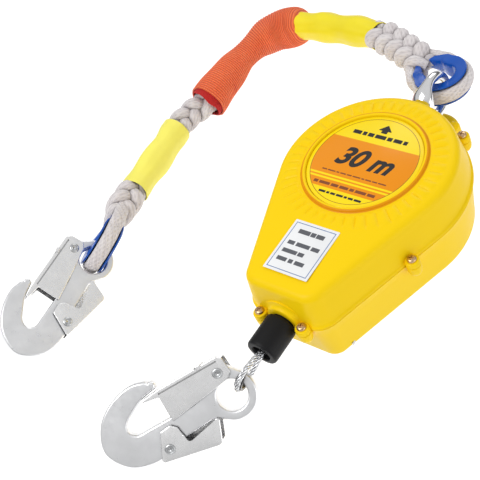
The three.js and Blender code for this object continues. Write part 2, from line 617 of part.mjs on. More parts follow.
/** A folded channel: a plate outline of full width with a slot cut along it for the hook body. */
function channel(outline, slot, halfInside, pivot) {
  const half = halfInside + HOOK.sheet;
  const block = solid(plate(outline, -half, half));
  const room = solid(plate(slot, -halfInside, halfInside));
  const hole = solid(rod(pivot.x, pivot.y, 3.3, -half - 1, half + 1, 12));
  return carve(block, room, hole);
}

function gateChannel() {
  const outline = [P(-34.5, 6), P(-32, 8), P(-17, 9.5), P(-14, 4), P(-9.5, -26), P(-5.5, -54),
    P(-28.6, -54), P(-30.4, -68), P(-32.4, -68.6), P(-34.5, -52)];
  const slot = [P(-33, 3), P(-31, 14), P(0, 14), P(0, -60), P(-30.6, -60), P(-33, -50)];
  return channel(outline, slot, HOOK.halfThickness + HOOK.gateClear, gatePivot);
}

function leverChannel() {
  const outline = [P(11.6, -18.2), P(30.2, -26.2), P(30.6, -29), P(21.4, -77), P(19, -78.4),
    P(-3, -67.5), P(-4, -57.5), P(0.3, -53), P(15.4, -51), P(15.8, -48), P(10, -20)];
  const slot = [P(0, -10), P(24, -10), P(29, -30), P(20, -76), P(19.4, -82), P(-20, -82),
    P(-20, -45), P(0, -45)];
  return channel(outline, slot, HOOK.halfThickness + HOOK.leverClear, leverPivot);
}

function rivet(halfGrip) {
  const shank = 3;
  const head = 4.4;
  const top = halfGrip + GAP;
  return turned([[0, -top - 1.2], [head * 0.8, -top - 1.2], [head, -top], [shank, -top],
    [shank, top], [head, top], [head * 0.8, top + 1.2], [0, top + 1.2]], 16);
}

function buildHook(prefix, place) {
  const hook = new THREE.Group();
  hook.applyMatrix4(place);
  assembly.add(hook);
  piece(`${prefix}_hook_body`, hookBody(), ALUMINIUM, hook);
  piece(`${prefix}_hook_gate`, gateChannel(), STEEL, hook);
  piece(`${prefix}_hook_lever`, leverChannel(), STEEL, hook);
  const gateGrip = HOOK.halfThickness + HOOK.gateClear + HOOK.sheet;
  const leverGrip = HOOK.halfThickness + HOOK.leverClear + HOOK.sheet;
  const gatePin = piece(`${prefix}_gate_rivet`, rivet(gateGrip), DARK_STEEL, hook);
  gatePin.position.set(gatePivot.x, gatePivot.y, 0);
  const leverPin = piece(`${prefix}_lever_rivet`, rivet(leverGrip), DARK_STEEL, hook);
  leverPin.position.set(leverPivot.x, leverPivot.y, 0);
}

/** Hook axes: long axis from bowl to eye, leaned about it so that the lever side is lower. */
function hookAxes(axis, leanDegrees) {
  const lean = THREE.MathUtils.degToRad(leanDegrees);
  const up = vec(0, 0, 1).addScaledVector(axis, -axis.z).normalize();
  const side = axis.clone().cross(up).normalize();
  const u = side.clone().multiplyScalar(Math.cos(lean)).addScaledVector(up, -Math.sin(lean));
  return { u, v: axis, n: u.clone().cross(axis) };
}

const basis = ({ u, v, n }, origin) => new THREE.Matrix4().makeBasis(u, v, n).setPosition(origin);

// ---------------------------------------------------------------------------------------------
// Assembly
// ---------------------------------------------------------------------------------------------

const wallCentre = (HOOK.eyeHole + HOOK.eyeOuter) / 2;

buildCovers();
buildLabels();
buildCoverScrews();
buildFrame();
buildBushes();
buildSpring();
buildDrum();
buildPawls();
buildBrake();
buildRopeRun();
buildSwivel();

const lineAxes = hookAxes(vec(0.6, 0.79, 0.12).normalize(), 45);
const cableAxis = vec(0, 1, 0);
const contact = lineAxes.v.clone().multiplyScalar(cableAxis.dot(lineAxes.v))
  .addScaledVector(lineAxes.u, cableAxis.dot(lineAxes.u)).normalize();
const loopNormal = contact.clone().cross(lineAxes.n);
const lineEye = vec(0, WIRE.loopY - 1.2, WIRE.z).addScaledVector(contact, -wallCentre);
buildCable(loopNormal);
buildHook('line', basis(lineAxes, lineEye));

const anchorAxes = hookAxes(anchorAxis, 45);
const anchorWall = anchorEyeCentre.clone().addScaledVector(anchorAxes.v, wallCentre);
const lowerEye = placement(anchorWall.clone().addScaledVector(lowerDirection, 3.0),
  lowerDirection, anchorAxes.u);
buildUpperLanyard();
buildAbsorber();
buildLowerLanyard(lowerEye);
buildHook('anchor', basis(anchorAxes, anchorEyeCentre));

export default assembly;
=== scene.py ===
"""Self retracting lifeline: the finished looks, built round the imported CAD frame.

Sizes are in millimetres in the CAD frame: +Z up and out of the label face, +Y towards the swivel eye,
origin on the flat back of the casing. Builder.mesh() and plate() turn them into metres.
"""

import itertools
import json
import math

import bmesh
import bpy
import numpy as np
from mathutils import Matrix, Vector, noise


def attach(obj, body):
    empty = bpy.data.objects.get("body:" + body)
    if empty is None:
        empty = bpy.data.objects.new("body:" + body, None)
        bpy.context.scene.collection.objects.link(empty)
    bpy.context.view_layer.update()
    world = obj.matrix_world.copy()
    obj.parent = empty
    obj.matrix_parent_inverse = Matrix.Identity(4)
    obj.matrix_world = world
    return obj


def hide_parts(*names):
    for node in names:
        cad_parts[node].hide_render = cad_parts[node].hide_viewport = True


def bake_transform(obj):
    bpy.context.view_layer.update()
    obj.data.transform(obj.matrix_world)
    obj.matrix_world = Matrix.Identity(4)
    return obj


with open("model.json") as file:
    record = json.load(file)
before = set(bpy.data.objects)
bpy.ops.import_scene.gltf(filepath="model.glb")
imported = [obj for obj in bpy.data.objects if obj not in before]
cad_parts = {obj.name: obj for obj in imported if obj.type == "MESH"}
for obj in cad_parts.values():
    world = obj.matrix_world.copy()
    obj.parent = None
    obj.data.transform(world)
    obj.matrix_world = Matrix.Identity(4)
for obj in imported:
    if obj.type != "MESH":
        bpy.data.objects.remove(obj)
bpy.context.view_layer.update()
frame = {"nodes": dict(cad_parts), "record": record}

MM = 0.001
TAU = 2 * math.pi
ON_AXIS = 0.02  # a turned profile that closes on its axis stops this far from it

# ---------------- Driving dimensions, shared with the CAD frame ----------------

ROUND_RADIUS = 86.0
END_HALF_WIDTH = 44.0
END_Y = -150.0
CORNER_RADIUS = 20.0
SEAM_Z = 52.0
HALF_SEAM = 0.15
FACE_Z = 90.0
WALL = 3.0
LIP_OUT = 1.7
FRONT_EDGE = 7.4
FRONT_INSET = 3.3
BACK_EDGE = 6.0
BACK_INSET = 6.0
DOME_DROP = 1.3
RING_INNER = 53.4
RING_OUTER = 57.6
FLUTES = 44
FLUTE_DEPTH = 1.7
SCREW_SEAT_Z = 58.0
SCREW_OUT = 4.8
STEM_BORE = 12.5
OUTLET_BORE = 10.5
HOOD_BORE = 26.4
HOOD_FACE_Y = 87.6
NUT_ROOM = 16.0

DRUM_Y = -14.0
WIRE_Z = 52.0
WIRE_STRANDS = 6
WIRE_STRAND = 0.84
WIRE_HELIX = 1.66
WIRE_LAY = 26.0
LOOP_Y = -212.0
LOOP_RADIUS = 12.5
LOOP_TURN = math.radians(15)

SWIVEL_Z = 60.0
SWIVEL_RING_Y = 112.0
SWIVEL_RING = 20.0
SWIVEL_WIRE = 4.7

EYE_RADIUS = 24.0
ROPE_LEGS = [(64, 4.2), (52, 6.5), (40, 12), (28, 17.4), (20, 20.6)]
WIRE_LEGS = [(45, 0.2), (39, 2.4), (30, 2.8), (22, 5), (14, 9.2)]
ROPE_THIMBLE = dict(radius=EYE_RADIUS, legs=ROPE_LEGS, drop=2, inner=7.5, wall=2.6, flange=1.9,
                    height=8.8, count=120, flare=1.0)
WIRE_THIMBLE = dict(radius=LOOP_RADIUS, legs=WIRE_LEGS, drop=6, inner=2.75, wall=0.9, flange=0.5,
                    height=2.0, count=90, flare=0.2)
SLEEVE_RADIUS = 15.6
SLEEVE_WALL = 1.2
RIB_PITCH = 2.7
RIB_HEIGHT = 0.38
UPPER_BEND = (-236.0, 198.0, 25.0)
ABSORBER_LINE = [(-222, 200, 29), (-238, 196.5, 24), (-256, 187, 21), (-268, 168, 20), (-273, 146, 20),
                 (-274, 113, 20), (-272.8, 71, 20)]

EYE_HOLE = 13.3
EYE_OUTER = 20.3
HALF_BODY = 5.5
SHEET = 1.3
SHEET_BEVEL = 0.9
SEAM_DEPTH = 1.0
GATE_HALF = HALF_BODY + 0.4 + SHEET
LEVER_HALF = HALF_BODY + 2.1 + SHEET
GATE_PIVOT = (-21.8, -1.0)
LEVER_PIVOT = (13.3, -67.5)
ANCHOR_EYE = (-246.0, -160.0, 31.0)

ANGLES = 700  # points round a cover
OUTLINE_POINTS = 1599
ROPE_STEP = 0.8
STRAND_COLS = 56
COVER_POINTS = 900
COVER_COLS = 128


# ---------------- Lines and outlines ----------------


def unit(v):
    v = np.asarray(v, float)
    return v / np.linalg.norm(v)


def smoothstep(low, high, x):
    t = np.clip((np.asarray(x, float) - low) / (high - low), 0, 1)
    return t * t * (3 - 2 * t)


def length_along(path):
    return np.concatenate([[0], np.cumsum(np.linalg.norm(np.diff(path, axis=0), axis=1))])


def resample(points, count):
    """The same line with evenly spaced points."""
    points = np.asarray(points, float)
    reached = length_along(points)
    wanted = np.linspace(0, reached[-1], count)
    return np.column_stack([np.interp(wanted, reached, column) for column in points.T])


def spline(points, count):
    """Centripetal Catmull-Rom curve through the points, evenly sampled."""
    p = np.asarray(points, float)
    p = np.vstack([2 * p[0] - p[1], p, 2 * p[-1] - p[-2]])
    out = []
    for a, b, c, d in zip(p, p[1:], p[2:], p[3:]):
        t1 = np.linalg.norm(b - a) ** 0.5
        t2 = t1 + np.linalg.norm(c - b) ** 0.5
        t3 = t2 + np.linalg.norm(d - c) ** 0.5
        t = np.linspace(t1, t2, 24, endpoint=False)[:, None]
        ab = (t1 - t) / t1 * a + t / t1 * b
        bc = (t2 - t) / (t2 - t1) * b + (t - t1) / (t2 - t1) * c
        cd = (t3 - t) / (t3 - t2) * c + (t - t2) / (t3 - t2) * d
        abc = (t2 - t) / t2 * ab + t / t2 * bc
        bcd = (t3 - t) / (t3 - t1) * bc + (t - t1) / (t3 - t1) * cd
        out.append((t2 - t) / (t2 - t1) * abc + (t - t1) / (t2 - t1) * bcd)
    return resample(np.vstack([*out, p[-2]]), count)


def tangents(path):
    ahead = np.gradient(path, axis=0)
    return ahead / np.linalg.norm(ahead, axis=1)[:, None]


def carried_frames(path, hint=(0, 0, 1)):
    """Normal and binormal at each point, carried along the path without twist."""
    tangent = tangents(path)
    normal = np.empty_like(path)
    step = np.asarray(hint, float)
    for i, ahead in enumerate(tangent):
        step = unit(step - step.dot(ahead) * ahead)
        normal[i] = step
    return normal, np.cross(tangent, normal)


def turns(cols):
    return np.linspace(0, TAU, cols, endpoint=False)


def steps_for(length):
    """Number of points along a rope of this length."""
    return max(8, int(length / ROPE_STEP))


def rings_round(path, frames, across, deep):
    """Rings of points round a path, from their distances along its normals and binormals."""
    normal, binormal = frames
    return path[:, None] + across[..., None] * normal[:, None] + deep[..., None] * binormal[:, None]


def arc(cx, cy, radius, start, end, steps):
    a = np.radians(np.linspace(start, end, steps + 1))
    return np.column_stack([cx + radius * np.cos(a), cy + radius * np.sin(a)])


def rounded(corners, steps=6):
    """A closed outline from (x, y, corner radius) triples."""
    out = []
    for i, (x, y, radius) in enumerate(corners):
        here = np.array([x, y], float)
        before = np.array(corners[i - 1][:2], float) - here
        after = np.array(corners[(i + 1) % len(corners)][:2], float) - here
        length_before, length_after = np.linalg.norm(before), np.linalg.norm(after)
        before, after = before / length_before, after / length_after
        half = math.acos(max(-1.0, min(1.0, before.dot(after)))) / 2
        if radius <= 0 or abs(half - math.pi / 2) < 0.01:
            out.append(here)
            continue
        cut = min(radius / math.tan(half), 0.48 * length_before, 0.48 * length_after)
        centre = here + unit(before + after) * (cut * math.tan(half)) / math.sin(half)
        first, last = here + before * cut - centre, here + after * cut - centre
        full = math.atan2(first[0] * last[1] - first[1] * last[0], first.dot(last))
        for k in range(steps + 1):
            c, s = math.cos(full * k / steps), math.sin(full * k / steps)
            out.append(centre + np.array([c * first[0] - s * first[1], s * first[0] + c * first[1]]))
    return np.array(out)


def oblong(x0, x1, y0, y1, radius, steps=6):
    return rounded([(x0, y0, radius), (x1, y0, radius), (x1, y1, radius), (x0, y1, radius)], steps)


# ---------------- Mesh building ----------------


def grid_faces(rows, cols):
    """Quads of a grid that closes on itself across its columns, with each corner's row and column."""
    r, c = np.meshgrid(np.arange(rows - 1), np.arange(cols), indexing="ij")
    r, c = r.ravel(), c.ravel()
    corner_rows = np.column_stack([r, r, r + 1, r + 1])
    corner_cols = np.column_stack([c, c + 1, c + 1, c])
    return corner_rows * cols + corner_cols % cols, corner_rows, corner_cols


class Builder:
    """Collects vertices, faces and UVs of one piece."""

    def __init__(self):
        self.verts = []
        self.faces = []
        self.uvs = []
        self.count = 0

    def add(self, verts, faces, uvs=None):
        for k, face in enumerate(faces):
            self.faces.append([int(i) + self.count for i in face])
            self.uvs.append(uvs[k] if uvs is not None else [(0.0, 0.0)] * len(face))
        self.verts.append(np.asarray(verts, float))
        self.count += len(verts)

    def tube(self, rings, along=None, caps=True, closed=False):
        """A skin over rows of rings. Its UV is (millimetres along / 10, share of a turn)."""
        rows, cols = rings.shape[:2]
        if along is None:
            along = length_along(rings.mean(axis=1))
        if closed:
            gap = np.linalg.norm(rings[0].mean(axis=0) - rings[-1].mean(axis=0))
            along = np.append(along, along[-1] + gap)
        faces, r, c = grid_faces(rows + int(closed), cols)
        first = self.count
        self.add(rings.reshape(-1, 3), faces % (rows * cols), np.stack([along[r] / 10, c / cols], axis=-1))
        if caps and not closed:
            for row, order in ((0, range(cols - 1, -1, -1)), (rows - 1, range(cols))):
                self.faces.append([first + row * cols + i for i in order])
                self.uvs.append([(along[row] / 10, 0.5)] * cols)
        return self

    def pole(self, first, cols, tip, flip):
        """Closes the ring of points that starts at index first onto one point."""
        for c in range(cols):
            a, b = first + c, first + (c + 1) % cols
            self.faces.append([self.count, a, b] if flip else [self.count, b, a])
            self.uvs.append([(0.0, 0.0)] * 3)
        self.verts.append(np.asarray([tip], float))
        self.count += 1

    def box(self, low, high):
        corners = [[(low, high)[(i >> k) & 1][k] for k in range(3)] for i in range(8)]
        faces = [(0, 2, 3, 1), (4, 5, 7, 6), (0, 1, 5, 4), (2, 6, 7, 3), (0, 4, 6, 2), (1, 3, 7, 5)]
        self.add(corners, faces)
        return self

    def mesh(self, name):
        mesh = bpy.data.meshes.new(name)
        mesh.from_pydata((np.vstack(self.verts) * MM).tolist(), [], self.faces)
        layer = mesh.uv_layers.new(name="UVMap")
        layer.data.foreach_set("uv", np.concatenate([np.asarray(u, np.float32).ravel() for u in self.uvs]))
        mesh.validate()
        return mesh


def edit_mesh(mesh, change):
    bm = bmesh.new()
    bm.from_mesh(mesh)
    change(bm)
    bm.to_mesh(mesh)
    bm.free()


def fix_normals(mesh):
    edit_mesh(mesh, lambda bm: bmesh.ops.recalc_face_normals(bm, faces=bm.faces))


def new_object(name, mesh):
    obj = bpy.data.objects.new(name, mesh)
    bpy.context.scene.collection.objects.link(obj)
    return obj


def made_object(name, builder):
    return new_object(name, builder.mesh(name))


def solid(name, builder):
    """A new object whose faces point outward."""
    obj = made_object(name, builder)
    fix_normals(obj.data)
    return obj


def shade_piece(obj, material, sharp):
    obj.data.materials.clear()
    obj.data.materials.append(material)
    obj.data.shade_smooth()
    obj.data.set_sharp_from_angle(angle=math.radians(sharp))


def finish_piece(obj, slot, body, replaces=(), sharp=38, look=None):
    """Sets a piece's looks, from its slot unless a look is given, the body it rides on, if any, and the CAD
    nodes it replaces.
    """
    fix_normals(obj.data)
    shade_piece(obj, MATERIAL[look or slot], sharp)
    if body:
        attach(obj, body)
    if replaces:
        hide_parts(*replaces)
    return obj


def build(name, builder, *choices, **more):
    return finish_piece(made_object(name, builder), *choices, **more)


def evaluated_mesh(obj):
    """The object's mesh with its modifiers, or its curve settings, applied."""
    bpy.context.view_layer.update()
    graph = bpy.context.evaluated_depsgraph_get()
    return bpy.data.meshes.new_from_object(obj.evaluated_get(graph), depsgraph=graph)


def settle(obj):
    """Replaces an object's mesh by the result of its modifiers."""
    made = evaluated_mesh(obj)
    obj.modifiers.clear()
    obj.data = made


def boolean(obj, tool, operation):
    """Joins or cuts obj by tool, then removes tool."""
    fix_normals(tool.data)
    modifier = obj.modifiers.new("boolean", "BOOLEAN")
    modifier.operation = operation
    modifier.solver = "MANIFOLD"
    modifier.object = tool
    settle(obj)
    fix_normals(obj.data)
    bpy.data.objects.remove(tool)
    return obj


def turned(profile, origin=(0, 0, 0), axis="z", steps=72, start=0.0, end=360.0):
    """Revolves a closed (radius, height) profile about a line along z or y."""
    full = end - start >= 359.9
    angles = np.radians(np.linspace(start, end, steps, endpoint=not full))
    radius, height = np.asarray(profile, float).T[:, None]
    a, b = radius * np.cos(angles)[:, None], radius * np.sin(angles)[:, None]
    flat = np.broadcast_to(height, a.shape)
    rings = np.stack((a, b, flat) if axis == "z" else (a, flat, b), axis=-1) + np.asarray(origin, float)
    return Builder().tube(rings, along=np.arange(steps) * (TAU * radius.max() / steps), closed=full)


def clean_curve_mesh(bm):
    """Merges the double points that a filled and bevelled curve leaves."""
    bmesh.ops.remove_doubles(bm, verts=bm.verts, dist=0.02 * MM)
    bmesh.ops.dissolve_degenerate(bm, edges=bm.edges, dist=0.005 * MM)


def plate(name, outline, half, bevel, holes=(), resolution=3):
    """A flat plate with rounded edges, lying in the local XY plane and centred on z 0."""
    curve = bpy.data.curves.new(name, "CURVE")
    curve.dimensions = "2D"
    curve.fill_mode = "BOTH"
    curve.extrude = (half - bevel) * MM
    curve.bevel_depth = bevel * MM
    curve.bevel_resolution = resolution
    curve.offset = -bevel * MM
    for loop in [outline, *holes]:
        edge = curve.splines.new("POLY")
        edge.points.add(len(loop) - 1)
        for point, (x, y) in zip(edge.points, loop):
            point.co = (x * MM, y * MM, 0, 1)
        edge.use_cyclic_u = True
    obj = new_object(name, curve)
    mesh = evaluated_mesh(obj)
    bpy.data.objects.remove(obj)
    edit_mesh(mesh, clean_curve_mesh)
    return new_object(name, mesh)


def move_mesh(obj, matrix):
    """Moves a mesh's own vertices by a matrix given in millimetres."""
    scaled = matrix.copy()
    scaled.translation = scaled.translation * MM
    obj.data.transform(scaled)
    return obj


def raise_mesh(obj, height):
    return move_mesh(obj, Matrix.Translation((0, 0, height)))


# ---------------- Materials ----------------

MATERIAL = {}


class Wire:
    """A value in a node tree. Arithmetic and comparisons on it add math nodes."""

    def __init__(self, nodes, socket):
        self.nodes = nodes
        self.socket = socket

    def __add__(self, other):
        return self.nodes.math("ADD", self, other)

    def __sub__(self, other):
        return self.nodes.math("SUBTRACT", self, other)

    def __mul__(self, other):
        return self.nodes.math("MULTIPLY", self, other)

    def __gt__(self, other):
        return self.nodes.math("GREATER_THAN", self, other)

    def __lt__(self, other):
        return self.nodes.math("LESS_THAN", self, other)


class Nodes:
    """Short calls for wiring a node tree."""

    def __init__(self, tree):
        self.tree = tree

    def plug(self, socket, value):
        """Gives an input a number or a colour, or links a wire to it."""
        if isinstance(value, Wire):
            self.tree.links.new(value.socket, socket)
        else:
            socket.default_value = (*value, 1) if isinstance(value, tuple) else value

    def wire(self, kind, output, inputs, **settings):
        """Adds a node with the given inputs, by number or name, and gives one of its outputs."""
        node = self.tree.nodes.new(kind)
        for key, value in settings.items():
            setattr(node, key, value)
        for key, value in inputs.items():
            self.plug(node.inputs[key], value)
        return Wire(self, node.outputs[output])

    def math(self, operation, a, b=0.0):
        return self.wire("ShaderNodeMath", 0, {0: a, 1: b, 2: 0.0}, operation=operation)

    def sine(self, angle):
        return self.math("SINE", angle)

    def band(self, value, low, high):
        """1 between low and high, 0 outside."""
        return (value > low) * (value < high)

    def parts(self, vector):
        return [self.wire("ShaderNodeSeparateXYZ", k, {0: vector}) for k in range(3)]

    def position(self):
        """Object-space x, y, z in millimetres."""
        place = self.wire("ShaderNodeTexCoord", "Object", {})
        return [part * 1000.0 for part in self.parts(place)]

    def uv(self):
        """Millimetres along and turns round."""
        along, turn, _ = self.parts(self.wire("ShaderNodeUVMap", 0, {}))
        return along * 10.0, turn

    def noise(self, scale, detail=3.0):
        """Noise with the given cycles per metre."""
        place = self.wire("ShaderNodeTexCoord", "Object", {})
        return self.wire("ShaderNodeTexNoise", 0, {"Vector": place, "Scale": scale, "Detail": detail})

    def between(self, value, low, high, out_low, out_high):
        inputs = dict(enumerate((value, low, high, out_low, out_high)))
        return self.wire("ShaderNodeMapRange", 0, inputs)

    def patches(self, scale, detail, low, high, out_low, out_high):
        """Noise with its range stretched to another."""
        return self.between(self.noise(scale, detail), low, high, out_low, out_high)

    def mix(self, share, a, b):
        return self.wire("ShaderNodeMix", 2, {0: share, 6: a, 7: b}, data_type="RGBA")

    def hollow(self, reach_in, dark, light, most):
        """Share of darkness in the hollows of a shape, from ambient occlusion."""
        openness = self.wire("ShaderNodeAmbientOcclusion", "AO", {"Distance": reach_in}, samples=6)
        return self.between(openness, dark, light, most, 0.0)


class Shader(Nodes):
    """A principled material, filed under its name in MATERIAL."""

    def __init__(self, name, color, roughness, metallic=0.0, **inputs):
        material = bpy.data.materials.new(name)
        material.use_nodes = True
        material.diffuse_color = (*color, 1)
        MATERIAL[name] = material
        super().__init__(material.node_tree)
        self.set(Base_Color=color, Roughness=roughness, Metallic=metallic, **inputs)

    def set(self, **inputs):
        for key, value in inputs.items():
            self.plug(self.tree.nodes["Principled BSDF"].inputs[key.replace("_", " ")], value)

    def bump(self, height, distance, strength=1.0):
        inputs = {"Height": height, "Distance": distance, "Strength": strength}
        self.set(Normal=self.wire("ShaderNodeBump", 0, inputs))


def shade(color, share):
    return tuple(share * c for c in color)


def casing_plastic():
    """Moulded yellow plastic, with painted shade as an orange band down the outer side of the label ring."""
    base, line, pale = (0.93, 0.63, 0.003), (0.78, 0.29, 0.004), (0.95, 0.68, 0.01)
    s = Shader("casing_yellow", base, 0.36, Coat_Weight=0.04, Coat_Roughness=0.14, Specular_IOR_Level=0.1)
    x, y, z = s.position()
    # painted shade: orange band from the crest of the raised label ring down to its foot
    ring_shade = s.band(s.math("SQRT", x * x + y * y), 55.9, 58.6) * (z > FACE_Z + 0.1)
    s.set(Base_Color=s.mix(s.patches(9.0, 3.0, 0.3, 0.7, 0.0, 0.10), s.mix(ring_shade, base, line), pale),
          Roughness=s.patches(400.0, 4.0, 0.3, 0.7, 0.32, 0.42))
    s.bump(s.noise(900.0, 2.0), 0.00003, 0.25)


def label_film():
    """Printed film: yellow with an orange field, two orange bars and a thin brown circle."""
    yellow, orange, brown = (0.96, 0.72, 0.004), (0.84, 0.28, 0.002), (0.35, 0.16, 0.01)
    print_radius = 49.0
    s = Shader("label_print", yellow, 0.3, Coat_Weight=0.1, Coat_Roughness=0.12, Specular_IOR_Level=0.25)
    x, y, _ = s.position()
    radius = s.math("SQRT", x * x + y * y)
    bars = s.band(y, -22.8, 20.2) + s.band(y, -26.4, -24.8) + s.band(y, -37.2, -28.4)
    printed = s.mix(bars * (radius < print_radius), yellow, orange)
    s.set(Base_Color=s.mix(s.band(radius, print_radius, print_radius + 0.6), printed, brown))


def metal(name, color, roughness, grain=0.0, grain_scale=500.0, hollow_shade=0.0):
    """Bare or plated metal with slow changes of tone, and painted shade in its hollows if asked for."""
    s = Shader(name, color, roughness, 1.0)
    tone = s.mix(s.patches(60.0, 5.0, 0.35, 0.75, 0.0, 0.35), color, shade(color, 0.72))
    # painted shade: ambient occlusion darkens the hollows and the gaps between parts
    if hollow_shade:
        tone = s.mix(s.hollow(0.0035, 0.2, 0.8, hollow_shade), tone, shade(color, 0.05))
    s.set(Base_Color=tone, Roughness=s.patches(260.0, 4.0, 0.3, 0.7, roughness * 0.8, roughness * 1.25))
    if grain:
        s.bump(s.noise(grain_scale), 0.00005, grain)


def wire_strand():
    """Small wires laid in each strand of the wire rope, with painted shade in the grooves between wires and
    between strands.
    """
    wires, lay = 7.0, 1.2
    steel = (0.86, 0.87, 0.89)
    s = Shader("wire_steel", steel, 0.22, 1.0)
    along, turn = s.uv()
    ridge = s.sine(turn * (wires * TAU) + along * lay)
    # painted shade in the grooves between the small wires
    tone = s.mix(s.between(ridge, -1.0, -0.4, 0.4, 0.0), steel, (0.10, 0.10, 0.11))
    # painted shade from ambient occlusion between the strands
    s.set(Base_Color=s.mix(s.hollow(0.0016, 0.35, 0.8, 0.95), tone, (0.02, 0.02, 0.025)))
    s.bump(ridge, 0.00008, 0.6)


def rope_fibre():
    """Woven cover of the rope strands: two yarn directions crossing, with fine threads."""
    yarns, slope = 13.0, 0.95
    s = Shader("rope_grey", (0.60, 0.565, 0.55), 0.85, Sheen_Weight=0.4, Sheen_Roughness=0.5)
    along, turn = s.uv()
    lean_a = turn * (yarns * TAU) + along * slope
    lean_b = turn * (yarns * TAU) - along * slope
    cross = s.math("MAXIMUM", s.sine(lean_a), s.sine(lean_b))
    base = s.mix(s.patches(45.0, 4.0, 0.35, 0.65, 0.0, 0.4), (0.76, 0.72, 0.72), (0.60, 0.54, 0.55))
    # painted shade in the gaps between the crossing yarns
    woven = s.mix(s.between(cross, -0.75, 0.25, 0.26, 0.0), base, (0.26, 0.23, 0.24))
    thread = s.between(s.sine(lean_a * 0.5), -1.0, -0.55, 0.22, 0.0)
    woven = s.mix(thread, woven, (0.30, 0.24, 0.25))
    # painted shade from ambient occlusion between the plaited strands
    s.set(Base_Color=s.mix(s.hollow(0.0045, 0.3, 0.9, 0.92), woven, (0.085, 0.065, 0.07)))
    s.bump(cross + s.sine(lean_a * 4.0) * 0.18, 0.0003, 0.7)


def ribbed_cloth():
    """Orange cloth with painted shade as a dark line in the groove between the absorber's ribs."""
    s = Shader("absorber_orange", (0.86, 0.11, 0.025), 0.8, Sheen_Weight=0.22, Sheen_Roughness=0.4)
    along, turn = s.uv()
    threads = s.sine(turn * (150.0 * TAU))
    ribs = s.sine(along * (TAU / RIB_PITCH))
    base = s.mix(s.patches(50.0, 4.0, 0.35, 0.65, 0.0, 0.5), (1.0, 0.215, 0.065), (0.90, 0.135, 0.036))
    # painted shade: darker in the troughs between the ribs
    s.set(Base_Color=s.mix(s.between(ribs, -0.9, 0.4, 0.62, 0.0), base, (0.50, 0.035, 0.012)))
    s.bump(threads * 0.5 + ribs, 0.00022, 0.8)


def cloth(name, color, threads, sheen):
    """Plain weave, with the given number of threads round and 1.2 mm between those along."""
    s = Shader(name, color, 0.85, Sheen_Weight=sheen)
    along, turn = s.uv()
    s.bump(s.sine(turn * (threads * TAU)) * s.sine(along * (TAU / 1.2)), 0.0003, 0.7)


def plain(name, color, roughness, bump_scale=500.0, bump_strength=0.2, **inputs):
    """Plastic, rubber or ink with slow changes of tone and a fine surface grain."""
    s = Shader(name, color, roughness, **inputs)
    s.set(Base_Color=s.mix(s.patches(30.0, 3.0, 0.35, 0.7, 0.0, 0.4), color, shade(color, 0.8)))
    s.bump(s.noise(bump_scale), 0.00006, bump_strength)


def materials():
    """Every material slot of the record, and the extra looks of some pieces."""
    casing_plastic()
    label_film()
    wire_strand()
    rope_fibre()
    ribbed_cloth()
    metal("screw_brass", (0.62, 0.42, 0.24), 0.3, 0.1)
    metal("zinc_steel", (0.62, 0.63, 0.64), 0.38, 0.15)
    metal("swivel_steel", (0.86, 0.86, 0.87), 0.12)
    metal("spring_steel", (0.30, 0.31, 0.33), 0.35, 0.1)
    metal("drum_aluminium", (0.74, 0.75, 0.76), 0.3, 0.1)
    # hook and gate steel get painted shade in their hollows and at the gaps between parts
    metal("hook_steel", (0.90, 0.905, 0.92), 0.34, 0.12, grain_scale=1400.0, hollow_shade=0.9)
    metal("gate_steel", (0.99, 0.99, 0.995), 0.28, 0.02, hollow_shade=0.95)
    metal("rivet_steel", (0.55, 0.56, 0.57), 0.35, 0.1)
    metal("thimble_dark_steel", (0.30, 0.29, 0.28), 0.3)
    cloth("webbing_white", (0.78, 0.76, 0.72), 60.0, 0.4)
    cloth("absorber_lining_red", (0.62, 0.008, 0.008), 70.0, 0.05)
    plain("sticker_white", (0.86, 0.87, 0.88), 0.5, 300.0, 0.05)
    plain("friction_lining", (0.16, 0.11, 0.07), 0.9, 900.0, 0.8)
    plain("nylon", (0.80, 0.79, 0.74), 0.45)
    plain("black_rubber", (0.008, 0.008, 0.009), 0.48, 700.0, 0.35, Specular_IOR_Level=0.18)
    plain("thimble_blue", (0.004, 0.085, 0.46), 0.24, 300.0, 0.05, Coat_Weight=0.2,
          Specular_IOR_Level=0.3)
    plain("shrink_yellow", (0.92, 0.77, 0.02), 0.42, 220.0, 0.3, Coat_Weight=0.05,
          Specular_IOR_Level=0.3)
    plain("shrink_pale", (0.98, 0.90, 0.15), 0.45, 220.0, 0.3, Specular_IOR_Level=0.3)
    plain("print_ink", (0.012, 0.010, 0.010), 0.45)
    plain("print_brown", (0.22, 0.055, 0.006), 0.5)
    plain("print_grey", (0.10, 0.105, 0.12), 0.5)
    plain("print_blue", (0.20, 0.27, 0.45), 0.5)
    for entry in frame["record"]["subparts"]:
        shade_piece(frame["nodes"][entry["node"]], MATERIAL[entry["material_slot"]], 32)


# ---------------- Casing covers ----------------

CORNER_X = END_HALF_WIDTH - CORNER_RADIUS
CORNER_Y = END_Y + CORNER_RADIUS
FLANK_ANGLE = math.atan2(CORNER_Y, CORNER_X) + math.acos(
    (ROUND_RADIUS - CORNER_RADIUS) / math.hypot(CORNER_X, CORNER_Y))


def teardrop(grow, count):
    """Evenly spaced points of the casing's outline, grown outward, and their directions."""
    flank = math.degrees(FLANK_ANGLE)
    corner = CORNER_RADIUS + grow
    outline = np.vstack([
        arc(0, 0, ROUND_RADIUS + grow, flank, 180 - flank, 240),
        arc(-CORNER_X, CORNER_Y, corner, 180 - flank, 270, 40),
        arc(CORNER_X, CORNER_Y, corner, -90, flank, 40),
    ])
    points = resample(np.vstack([outline, outline[:1]]), count + 1)[:-1]
    return points, np.arctan2(points[:, 1], points[:, 0])


THETA = teardrop(0, ANGLES)[1]


